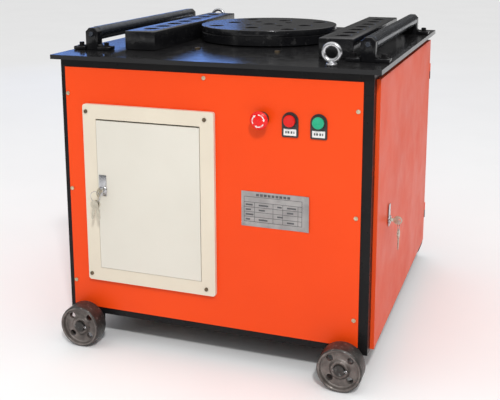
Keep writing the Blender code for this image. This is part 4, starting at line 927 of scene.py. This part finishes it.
@dataclass
class RunningWheel:
    """Cast wheel with a recessed web and round windows."""

    end: str
    side: str
    rim: float = 0.0070
    web: float = 0.0080
    recess: float = 0.0100
    hub: float = 0.0200
    bore: float = 0.0125
    windows: int = 4
    window_radius: float = 0.0075
    window_circle: float = 0.0315

    def profile(self, radius: float, half: float) -> Profile:
        """Closed profile of the casting and its tread.

        Args:
            radius: radius of the wheel.
            half: half its width.

        Returns:
            The profile, its outer side last along the axis.
        """
        face, hub, bore = radius - self.rim, self.hub, self.bore
        web, nose, seat = half - self.recess, half - 0.0045, half - 0.0060
        return [(radius - 0.0030, half), (face + 0.0012, half), (face, half - 0.0012),
                (face - 0.0015, web + 0.0018), (face - 0.0040, web), (hub + 0.0035, web),
                (hub + 0.0010, web + 0.0022), (hub, seat), (hub - 0.0015, nose),
                (bore + 0.0025, nose), (bore, seat), (bore, -half), (hub, -half),
                (hub, web - self.web), (face, web - self.web), (face, -half), (radius - 0.0020, -half),
                (radius - 0.0004, 0.0014 - half), (radius, 0.0030 - half), (radius, half - 0.0050),
                (radius - 0.0006, half - 0.0022)]

    def build(self) -> None:
        """Makes the wheel, its windows and its tread."""
        node = f"wheel_{self.end}_{self.side}"
        low, high = corners(node)
        centre = middle(node)
        radius = (high.x - low.x) / 2
        out = -1 if self.end == "front" else 1
        profile = [(r, out * y) for r, y in self.profile(radius, (high.y - low.y) / 2)]
        bm = bmesh.new()
        add_turned(bm, profile, Along.Y, centre, 72)
        for part in bm.faces:
            spot = part.calc_center_median() - centre
            part.material_index = int((spot.x ** 2 + spot.z ** 2) ** 0.5 > radius - 0.0025)
        wheel = finished(bm, f"{node}_casting", [CAST_WHEEL, WORN_TREAD], 32.0)
        cutters = bmesh.new()
        for x, z in circle((centre.x, centre.z), self.window_circle, self.windows, 45.0):
            add_rod(cutters, self.window_radius, -THROUGH, THROUGH, Along.Y, (x, centre.y, z), 24)
        bored(wheel, cutters)
        wheel.data.set_sharp_from_angle(angle=radians(32.0))
        settled(wheel, node, "cast_iron", node)


@dataclass
class AxlePins:
    """Split pins at the ends of one axle."""

    side: str
    inset: float = 0.0018

    def build(self) -> None:
        """Makes a split pin with its eye on each end of the axle."""
        node = f"axle_{self.side}"
        low, high = corners(node)
        centre = middle(node)
        for end, y in (("front", low.y + self.inset), ("rear", high.y - self.inset)):
            bm = bmesh.new()
            add_turned(bm, SPLIT_PIN, Along.X, (centre.x, y, centre.z), 12)
            add_turned(bm, circle((0.0021, 0.0), 0.0009, 8), Along.Y,
                       (centre.x + 0.0150, y, centre.z), 20)
            settled(finished(bm, f"{node}_{end}_split_pin", [ZINC], 50.0), "machine", "machined_steel")


# ---------------------------------------------------------------- control panel

@dataclass
class EmergencyStop:
    """Mushroom head on a black collar, with a ring of arrows round its face."""

    radius: float = 0.0200
    crown: float = 0.0050
    stem: float = 0.0060
    arrows: int = 3
    arrow_radius: float = 0.0130
    arrow_width: float = 0.0022
    arrow_turn: float = 74.0

    def build_head(self, centre: Vector, top: float, end: float) -> None:
        """Makes the domed head and its stem.

        Args:
            centre: middle of the knob.
            top: place of its face.
            end: place of the stem's end.
        """
        slopes = [radians(a) for a in range(0, 64, 8)]
        crown = [(self.radius * sin(a), top + self.crown * (1 - cos(a))) for a in slopes]
        side = [(self.radius, top + 0.0062), (self.radius - 0.0004, top + 0.0085),
                (self.radius - 0.0022, top + 0.0130), (self.radius - 0.0036, top + 0.0140),
                (0.0105, top + 0.0142), (0.0088, top + 0.0148), (self.stem, top + 0.0150),
                (self.stem, end - 0.001), (self.stem - 0.001, end), (0, end)]
        head = turned("emergency_head", crown + side, Along.Y, centre, 64, RED_PLASTIC, 40.0)
        settled(head, "estop_knob", "red_plastic", "estop_knob")

    def build_arrows(self, centre: Vector, top: float) -> None:
        """Makes the arrows and lays them on the dome.

        Args:
            centre: middle of the knob.
            top: place of its face.
        """
        middle_of, bar, turn = (centre.x, centre.z), self.arrow_width, self.arrow_turn
        bm = bmesh.new()
        for i in range(self.arrows):
            start = 90.0 + i * 360.0 / self.arrows
            outer = circle(middle_of, self.arrow_radius + bar / 2, 14, start, -turn)
            inner = circle(middle_of, self.arrow_radius - bar / 2, 14, start - turn, turn)
            tip = [circle(middle_of, self.arrow_radius + share * bar, 1, start - at, 360.0)[0]
                   for share, at in ((1.3, turn), (0.0, 96.0), (-1.3, turn))]
            add_prism(bm, outer + tip + inner, Along.Y, top + 0.0006, top + 0.0030)
        ring = finished(bm, "emergency_arrows", [WHITE_MARK], 30.0)
        for spot in ring.data.vertices:
            r = ((spot.co.x - centre.x) ** 2 + (spot.co.z - centre.z) ** 2) ** 0.5
            rise = self.crown * (1 - (1 - min(1.0, r / self.radius) ** 2) ** 0.5)
            spot.co.y = top + rise + (-0.00015 if spot.co.y < top + 0.001 else 0.0010)
        settled(ring, "estop_knob", "red_plastic")

    def build(self) -> None:
        """Makes the head, its arrows and its collar."""
        low, high = corners("estop_knob")
        centre = middle("estop_knob") * Vector((1, 0, 1))
        self.build_head(centre, low.y, high.y)
        self.build_arrows(centre, low.y)
        low, high = corners("estop_body")
        front, bore = low.y, self.stem + 0.0004
        profile = [(bore, front), (0.0145, front), (0.0160, front + 0.0012), (0.0160, front + 0.0050),
                   (0.0150, front + 0.0056), (0.0150, front + 0.0096), (0.0110, front + 0.0097),
                   (0.0110, high.y - 0.001), (0.0100, high.y), (bore, high.y)]
        collar = turned("emergency_collar", profile, Along.Y, centre, 48, BLACK_PLASTIC)
        settled(collar, "machine", "black_plastic", "estop_body")


@dataclass
class PushButton:
    """Push-button in a holder with a blank legend plate."""

    name: str
    finish: Finish
    slot: str
    cap_radius: float = 0.0128
    stem: float = 0.0060
    gap: float = 0.0003
    ring_radius: float = 0.0150
    ring_height: float = 0.0080
    neck: float = 0.0110
    width: float = 0.0360
    drop: float = 0.0360
    corner: float = 0.0020
    thickness: float = 0.0030
    legend: tuple[float, float, float] = (0.0138, 0.0040, 0.0180)
    strokes: tuple[tuple[float, float], ...] = ((-0.0085, 0.0032), (-0.0032, 0.0042), (0.0036, 0.0038),
                                                (0.0088, 0.0024))

    def __post_init__(self) -> None:
        """Finds the button's axis and the panel's face."""
        centre = middle(f"{self.name}_button_cap")
        self.axis = (centre.x, 0.0, centre.z)
        self.panel = corners(f"{self.name}_button_body")[0].y + self.ring_height

    def build_cap(self) -> None:
        """Makes the cap and its stem."""
        node = f"{self.name}_button_cap"
        low, high = corners(node)
        face, end, radius, panel = low.y, high.y, self.cap_radius, self.panel
        profile = [(0, face + 0.0008), (radius * 0.60, face + 0.0005), (radius * 0.86, face),
                   (radius - 0.0006, face + 0.0005), (radius, face + 0.0016), (radius, panel - 0.0062),
                   (self.stem, panel - 0.0060), (self.stem, end - 0.001), (self.stem - 0.001, end),
                   (0, end)]
        cap = turned(f"{self.name}_cap", profile, Along.Y, self.axis, 56, self.finish)
        settled(cap, f"{self.name}_cap", self.slot, node)

    def build_ring(self) -> None:
        """Makes the ring round the cap and the neck behind it."""
        node, panel = f"{self.name}_button_body", self.panel
        front, end = panel - self.ring_height, corners(node)[1].y
        inner, bore = self.cap_radius + self.gap, self.stem + 0.0004
        profile = [(inner, front + 0.0004), (self.cap_radius + 0.0010, front),
                   (self.ring_radius - 0.0004, front), (self.ring_radius, front + 0.0008),
                   (self.ring_radius, panel - 0.0012), (self.neck, panel + 0.0001),
                   (self.neck, end - 0.0006), (self.neck - 0.0004, end), (bore, end),
                   (bore, panel - 0.0018), (inner, panel - 0.0020)]
        ring = turned(f"{self.name}_ring", profile, Along.Y, self.axis, 56, BLACK_PLASTIC)
        settled(ring, "machine", "black_plastic", node)

    def build_holder(self) -> None:
        """Makes the holder round the ring."""
        x, _, z = self.axis
        panel = self.panel
        half, foot, cut = self.width / 2, z - self.drop, self.corner
        outline = ([(x - half, foot + cut), (x - half + cut, foot), (x + half - cut, foot),
                    (x + half, foot + cut)] + circle((x, z), half, 32, 0.0, 180.0))
        bm = bmesh.new()
        add_prism(bm, outline, Along.Y, panel - self.thickness, panel - 0.0002)
        holder = finished(bm, f"{self.name}_holder", [BLACK_PLASTIC], 30.0, 0.0006)
        cutter = bmesh.new()
        add_rod(cutter, self.ring_radius - 0.0005, panel - THROUGH, panel + THROUGH, Along.Y, self.axis, 56)
        settled(bored(holder, cutter), "machine", "black_plastic")

    def build_legend(self) -> None:
        """Makes the blank legend plate under the cap, with four plain strokes."""
        x, foot, y = self.axis[0], self.axis[2] - self.drop, self.panel - self.thickness
        half, low, high = self.legend
        bm = bmesh.new()
        add_box(bm, (x - half, y - 0.0004, foot + low), (x + half, y + 0.0004, foot + high))
        for shift, wide in self.strokes:
            add_box(bm, (x + shift - wide / 2, y - 0.0005, foot + 0.0085),
                    (x + shift + wide / 2, y - 0.0003, foot + 0.0135), 1)
        settled(finished(bm, f"{self.name}_legend", [WHITE_MARK, ETCHED_INK]), "machine",
                "black_plastic")

    def build(self) -> None:
        """Makes the cap, its ring, the holder and the legend."""
        self.build_cap()
        self.build_ring()
        self.build_holder()
        self.build_legend()


@dataclass
class DataPlate:
    """Thin aluminium plate with blank ruled rows, riveted at its corners."""

    rows: tuple[float, ...] = (0.0665, 0.0545, 0.0435, 0.0325, 0.0215, 0.0105)
    columns: tuple[float, ...] = (0.030, 0.072, 0.094, 0.128)
    marks: tuple[tuple[float, float, int], ...] = (
        (0.004, 0.016, 0), (0.034, 0.022, 0), (0.076, 0.010, 0), (0.098, 0.020, 0), (0.004, 0.012, 1),
        (0.034, 0.014, 1), (0.098, 0.014, 1), (0.004, 0.018, 2), (0.076, 0.012, 2), (0.004, 0.010, 3),
        (0.034, 0.020, 3), (0.098, 0.016, 3))
    margin: float = 0.006
    line: float = 0.0010
    thickness: float = 0.0008
    flat: float = 0.90
    curl: float = 0.0020
    steps: int = 24

    def build_sheet(self, low: Vector, high: Vector) -> None:
        """Makes the plate, whose right-hand edge has curled off the door.

        Args:
            low: lower corner of its node.
            high: upper corner of its node.
        """
        tall = high.z - low.z
        heights = (low.z, low.z + tall / 3, low.z + 2 * tall / 3, high.z)
        bm = bmesh.new()
        grid = {}
        for i in range(self.steps + 1):
            u = i / self.steps
            lift = self.curl * max(0.0, (u - self.flat) / (1 - self.flat)) ** 2
            for j, z in enumerate(heights):
                for k, depth in enumerate((self.thickness, 0.0)):
                    grid[i, j, k] = bm.verts.new((low.x + u * (high.x - low.x), high.y - depth - lift, z))
        for i in range(self.steps):
            for j in range(3):
                for k in (0, 1):
                    square = ((i, j), (i + 1, j), (i + 1, j + 1), (i, j + 1))
                    bm.faces.new([grid[a, b, k] for a, b in square])
            for j in (0, 3):
                bm.faces.new([grid[i, j, 0], grid[i + 1, j, 0], grid[i + 1, j, 1], grid[i, j, 1]])
        for i in (0, self.steps):
            for j in range(3):
                bm.faces.new([grid[i, j, 0], grid[i, j + 1, 0], grid[i, j + 1, 1], grid[i, j, 1]])
        settled(finished(bm, "blank_data_plate", [BRUSHED_PLATE], 40.0), "machine", "aluminium",
                "data_plate")

    def strokes(self, left: float, right: float) -> list[tuple[float, float, float, float]]:
        """Every ruled line and mark as left, foot, right and top from the plate's corner.

        Args:
            left: where the rows start.
            right: where they end.

        Returns:
            The strokes.
        """
        line, foot = self.line, self.rows[-1]
        made = [(left, row, right, row + line) for row in self.rows]
        made += [(x, foot, x + line, self.rows[1]) for x in self.columns]
        made += [(x, foot, x + line, self.rows[0]) for x in (left, right - line)]
        title = [left + 0.028 + k * 0.0088 for k in range(9)]
        made += [(x, 0.0692, x + 0.0066, 0.0748) for x in title]
        for offset, length, row in self.marks:
            z = self.rows[row + 2] + 0.0038
            made.append((left + offset, z, left + offset + length, z + 0.0036))
        return made

    def build(self) -> None:
        """Makes the plate, its ruled rows and its rivets."""
        low, high = corners("data_plate")
        flat = (high.x - low.x) * self.flat
        self.build_sheet(low, high)
        front = high.y - self.thickness - 0.0001
        bm = bmesh.new()
        for left, foot, right, top in self.strokes(self.margin, flat):
            add_box(bm, (low.x + left, front, low.z + foot), (low.x + right, front + 0.0002, low.z + top))
        settled(finished(bm, "data_plate_rules", [ETCHED_INK]), "machine", "aluminium")
        rivets = [(x, high.y - self.thickness, z) for x in (low.x + 0.004, low.x + flat + 0.004)
                  for z in (low.z + 0.004, high.z - 0.004)]
        FASTENERS["rivet"].place("data_plate_rivets", rivets, FORWARD, 0.0017, "machine", "aluminium")


# ---------------------------------------------------------------- locks and doors

@dataclass
class KeyedLock:
    """Cylinder lock with a key in it and two more keys on a ring."""

    node: str
    body: str
    door: str
    turn: int
    plate: tuple[float, float, float] = (0.0095, -0.014, 0.036)
    barrel: float = 0.0074
    rose: float = 0.0105
    bow: float = 0.0100
    blade: float = 0.0038
    key_thickness: float = 0.0016
    eye: float = 0.0032
    ring: float = 0.0120
    wire: float = 0.0007
    lean: float = 38.0
    key_leans: tuple[tuple[float, float], ...] = ((-11.0, -0.0012), (9.0, 0.0014))

    def settle(self, piece: Piece, face: Vector, body: str, *nodes: str) -> None:
        """Moves a piece made round the origin, facing -Y, to the lock's place.

        Args:
            piece: the piece.
            face: the lock's place on its door.
            body: the body it moves with.
            nodes: nodes that it stands for.
        """
        piece.data.transform(Matrix.Translation(face) @ Matrix.Rotation(radians(self.turn), 4, "Z"))
        settled(piece, body, "bright_zinc", *nodes)

    def key_outline(self, lean: float) -> Profile:
        """Outline of a hanging key that leans by an angle in degrees."""
        bow = circle((0.0, -self.bow), self.bow, 22, -68.0, 316.0)
        a = radians(lean)
        return [(x * cos(a) - z * sin(a), x * sin(a) + z * cos(a)) for x, z in bow + KEY_BLADE]

    def build_plate(self) -> Piece:
        """Makes the plate behind the lock, with its round opening."""
        half, below, above = self.plate
        bm = bmesh.new()
        add_box(bm, (-half, -0.0016, below), (half, -0.0002, above))
        plate = finished(bm, f"{self.body}_plate", [ZINC], 30.0, 0.0006)
        opening = bmesh.new()
        add_rod(opening, self.barrel + 0.0003, -THROUGH, THROUGH, Along.Y, (0, 0, 0), 40)
        return bored(plate, opening)

    def build_cylinder(self, depth: float, eye: float) -> Piece:
        """Makes the cylinder with the key in it.

        Args:
            depth: how far the key's blade stands out.
            eye: place of the eye in its bow.

        Returns:
            The piece.
        """
        rose, barrel, half = self.rose, self.barrel, self.key_thickness / 2
        profile = [(0, -0.0040), (0.0030, -0.0042), (rose - 0.0022, -0.0042), (rose - 0.0008, -0.0034),
                   (rose, -0.0020), (rose, -0.00165), (barrel, -0.00165), (barrel, 0.0120), (0, 0.0120)]
        bm = bmesh.new()
        add_turned(bm, profile, Along.Y, (0, 0, 0), 40)
        add_box(bm, (-half, -depth - 0.0030, -self.blade), (half, -0.0036, self.blade), 1)
        add_prism(bm, circle((-depth - self.bow, 0.0), self.bow, 28), Along.X, -half, half, 1)
        piece = finished(bm, f"{self.body}_cylinder", [ZINC, BRASS_KEY])
        cutter = bmesh.new()
        add_prism(cutter, circle((eye, 0.0), self.eye, 16), Along.X, -THROUGH, THROUGH)
        return bored(piece, cutter, True)

    def build_cam(self, inside: float, length: float) -> Piece:
        """Makes the cam and the nut that holds it.

        Args:
            inside: place of the cylinder's inner end.
            length: how far down the cam reaches.

        Returns:
            The piece.
        """
        bm = bmesh.new()
        add_box(bm, (-0.0090, inside - 0.0032, -length), (0.0090, inside - 0.0004, 0.0090))
        add_rod(bm, 0.0060, inside - 0.0034, inside, Along.Y, (0, 0, 0), 6)
        return finished(bm, f"{self.body}_cam", [ZINC], 30.0)

    def build_keys(self, y: float, way: int) -> Piece:
        """Makes the ring and the two keys that hang on it.

        Args:
            y: place of the eye that the ring goes through.
            way: which side the ring leans to.

        Returns:
            The piece.
        """
        x_ring, z_ring = -way * self.ring * sin(radians(self.lean)), -self.ring * cos(radians(self.lean))
        bm = bmesh.new()
        add_turned(bm, circle((self.ring, 0.0), self.wire, 8), Along.Y, (x_ring, y, z_ring), 44)
        drop, half = z_ring - self.ring + 0.0030, self.key_thickness / 2
        for lean, shift in self.key_leans:
            shape = [(x + x_ring, z + drop) for x, z in self.key_outline(lean)]
            add_prism(bm, shape, Along.Y, y + shift - half, y + shift + half, 1)
        return finished(bm, f"{self.body}_key_ring", [ZINC, BRASS_KEY])

    def build(self) -> None:
        """Makes the plate, the cylinder, its cam, the key and the ring of keys."""
        low, high = corners(self.node)
        joint = next(j for j in frame["joints"] if j["child"] == self.body)
        out = Matrix.Rotation(radians(self.turn), 3, "Z") @ FORWARD
        sheet_low, sheet_high = corners({0: "control_box_door", 90: "side_door_right",
                                         -90: "side_door_left"}[self.turn])
        outer, inner, sheet = {0: (-low.y, high.y, -sheet_low.y), 90: (high.x, -low.x, sheet_high.x),
                               -90: (-low.x, high.x, -sheet_low.x)}[self.turn]
        face = Vector(joint["pos_m"])
        face += out * (sheet - face.dot(out))
        depth = outer - sheet - self.bow * 2
        eye = -depth - self.bow * 1.35
        plate = self.build_plate()
        barrel = self.build_cylinder(depth, eye)
        cam = self.build_cam(inner + sheet, face.z - low.z)
        keys = self.build_keys(eye, 1 if Vector(joint["axis"]).dot(out) < 0 else -1)
        self.settle(barrel, face, self.body, self.node)
        self.settle(cam, face, self.body)
        self.settle(plate, face, self.door)
        self.settle(keys, face, self.door)


# ---------------------------------------------------------------- drive and fasteners of the frame

@dataclass
class MotorRibs:
    """Cooling ribs round the motor."""

    count: int = 28
    height: float = 0.010
    width: float = 0.0026
    length: float = 0.210
    motor_radius: float = 0.0960
    sunk: float = 0.30

    def build(self) -> None:
        """Makes the ribs by instancing one round the motor's axis."""
        axis = next(j for j in frame["joints"] if j["name"] == "motor_spin")["pos_m"]
        group = new_group("motor_ribs")
        number, inner = (group.interface.new_socket(name, in_out="INPUT", socket_type=kind).identifier
                         for name, kind in (("Ribs", "NodeSocketInt"), ("Radius", "NodeSocketFloat")))
        source = group.nodes.new("NodeGroupInput")
        points = wired(group, "GeometryNodePoints", {"Count": source.outputs["Ribs"]})
        rib = wired(group, "GeometryNodeMeshCube", {"Size": (self.length, self.width, self.height)})
        lift = wired(group, "ShaderNodeCombineXYZ", {"Z": source.outputs["Radius"]})
        moved = wired(group, "GeometryNodeTransform", {"Geometry": rib.outputs["Mesh"],
                                                       "Translation": lift.outputs[0]})
        index = group.nodes.new("GeometryNodeInputIndex").outputs[0]
        share = wired(group, "ShaderNodeMath", {0: index, 1: source.outputs["Ribs"]}, operation="DIVIDE")
        angle = wired(group, "ShaderNodeCombineXYZ", {"X": times(group, share.outputs[0], 2 * pi)})
        put = wired(group, "GeometryNodeInstanceOnPoints",
                    {"Points": points.outputs[0], "Instance": moved.outputs[0],
                     "Rotation": angle.outputs[0]})
        close_group(group, put.outputs[0], MOTOR_BLUE)
        radius = self.motor_radius + self.height * self.sunk
        ribs = grown("motor_ribs", [], group, {number: self.count, inner: radius}, MOTOR_BLUE)
        ribs.data.transform(Matrix.Translation((0.0, axis[1], axis[2])))
        settled(ribs, "machine", "motor_paint")


@dataclass
class PanelScrews:
    """Screws and bolts of the sheets, the box, the table, the gearbox and the contactors."""

    sheet_rows: tuple[float, ...] = (0.600, 0.373, 0.145)
    flange_rows: tuple[float, ...] = (0.562, 0.1715)
    table_circle: float = 0.260
    cover_circle: float = 0.0385
    terminals: int = 4

    def on_sheets(self) -> None:
        """Screws of the front and rear panels and of the box flange."""
        front, rear = corners("front_panel")[0].y, corners("rear_panel")[1].y
        spots = [(x, front, z) for x in (-0.345, 0.332) for z in self.sheet_rows]
        spots.append((-0.0075, front, 0.652))
        FASTENERS["pan"].place("front_panel_screws", spots, FORWARD, 0.0046, "machine", "orange_paint")
        spots = [(x, rear, z) for x in (-0.335, 0.335) for z in self.sheet_rows]
        FASTENERS["pan"].place("rear_panel_screws", spots, BACKWARD, 0.0036, "machine", "orange_paint")
        low, high = corners("control_box")
        spots = [(x, low.y, z) for x in (low.x + 0.0085, high.x - 0.0215) for z in self.flange_rows]
        FASTENERS["dark_pan"].place("box_flange_screws", spots, FORWARD, 0.0044, "machine",
                                    "cream_paint")

    def on_table(self) -> None:
        """Screws of the table round the disc."""
        top = corners("table_plate")[1].z
        centre = middle("work_disc")
        spots = [(x, y, top) for x, y in circle((centre.x, centre.y), self.table_circle, 8, 22.5)
                 if abs(x) < 0.16 and abs(y - centre.y) > 0.19]
        FASTENERS["dark_pan"].place("table_screws", spots, UP, 0.0065, "machine", "orange_paint")

    def on_drive(self) -> None:
        """Bolts of the bearing covers and screws of the contactors."""
        for side, node in ((-1, "worm_bearing_left"), (1, "worm_bearing_right")):
            spot = middle(node)
            face = corners("gearbox_housing")[side > 0].x
            spots = [(face, y, z) for y, z in circle((spot.y, spot.z), self.cover_circle, 6, 30.0)
                     if abs(z - spot.z) < 0.036]
            FASTENERS["zinc_hex"].place(f"{node}_cover_bolts", spots, Vector((side, 0, 0)), 0.0045,
                                        "machine", "grey_paint")
        for node in ("contactor_forward", "contactor_reverse"):
            low, high = corners(node)
            step = (high.x - low.x) / self.terminals
            spots = [(low.x + step * (i + 0.5), low.y, z) for i in range(self.terminals)
                     for z in (low.z + 0.010, high.z - 0.010)]
            FASTENERS["zinc_pan"].place(f"{node}_terminals", spots, FORWARD, 0.0030, "machine",
                                        "black_plastic")

    def build(self) -> None:
        """Places every row of screws and bolts."""
        self.on_sheets()
        self.on_table()
        self.on_drive()


def dress_nodes() -> None:
    """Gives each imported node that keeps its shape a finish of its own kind."""
    dress(BLACK_GLOSS, "table_plate")
    dress(BLACK_FRAME, "top_frame", "bottom_frame", "post_front_left", "post_front_right", "post_rear_left",
          "post_rear_right")
    dress(ORANGE, "front_panel", "rear_panel")
    # The side doors take the copy of the orange paint that has painted shade in its colour.
    dress(ORANGE_SHADED_DOORS, "side_door_left", "side_door_right")
    dress(CREAM, "control_box")
    dress(CREAM_DOOR, "control_box_door")
    dress(ZINC, "mounting_plate")
    dress(BLACK_PLASTIC, "contactor_forward", "contactor_reverse", "cable_gland")
    dress(GEARBOX_GREY, "control_transformer", "gearbox_housing", "gearbox_lid")
    dress(TURNED, "main_shaft", "worm_shaft", "motor_rotor")
    dress(WORN_TREAD, "axle_left", "axle_right")
    dress(MACHINED, "main_bearing_lower", "main_bearing_upper", "worm_bearing_left", "worm_bearing_right")
    dress(BRONZE, "worm_wheel")
    dress(CAST_PULLEY, "driven_pulley", "motor_pulley")
    dress(BELT_RUBBER, "drive_belt_outer", "drive_belt_inner")
    dress(MOTOR_BLUE, "motor_body")


def main() -> None:
    """Builds the whole machine and its studio."""
    logging.basicConfig(level=logging.INFO, format="%(name)s: %(message)s")
    for key, head, finish in (("black_hex", Head.HEX, BLACK_FRAME), ("zinc_hex", Head.HEX, ZINC),
                              ("pan", Head.PAN, BRASSY_SCREW), ("dark_pan", Head.PAN, DARK_SCREW),
                              ("zinc_pan", Head.PAN, ZINC), ("rivet", Head.PAN, BRUSHED_PLATE)):
        FASTENERS[key] = FastenerTree(head, finish)
    Studio().build()
    dress_nodes()
    BendingDisc().build()
    for side in ("left", "right"):
        HoleBar(side).build()
        SupportRoller(side).build()
        AxlePins(side).build()
        for end in ("front", "rear"):
            RunningWheel(end, side).build()
    for end in ("front", "rear"):
        LiftingEye(end).build()
    EmergencyStop().build()
    PushButton("stop", RED_CAP, "red_plastic").build()
    PushButton("start", GREEN_CAP, "green_plastic").build()
    DataPlate().build()
    KeyedLock("control_box_lock", "box_lock", "box_door", 0).build()
    KeyedLock("door_lock_right", "door_lock_right", "side_door_right", 90).build()
    KeyedLock("door_lock_left", "door_lock_left", "side_door_left", -90).build()
    MotorRibs().build()
    PanelScrews().build()


if __name__ == "__main__":
    main()
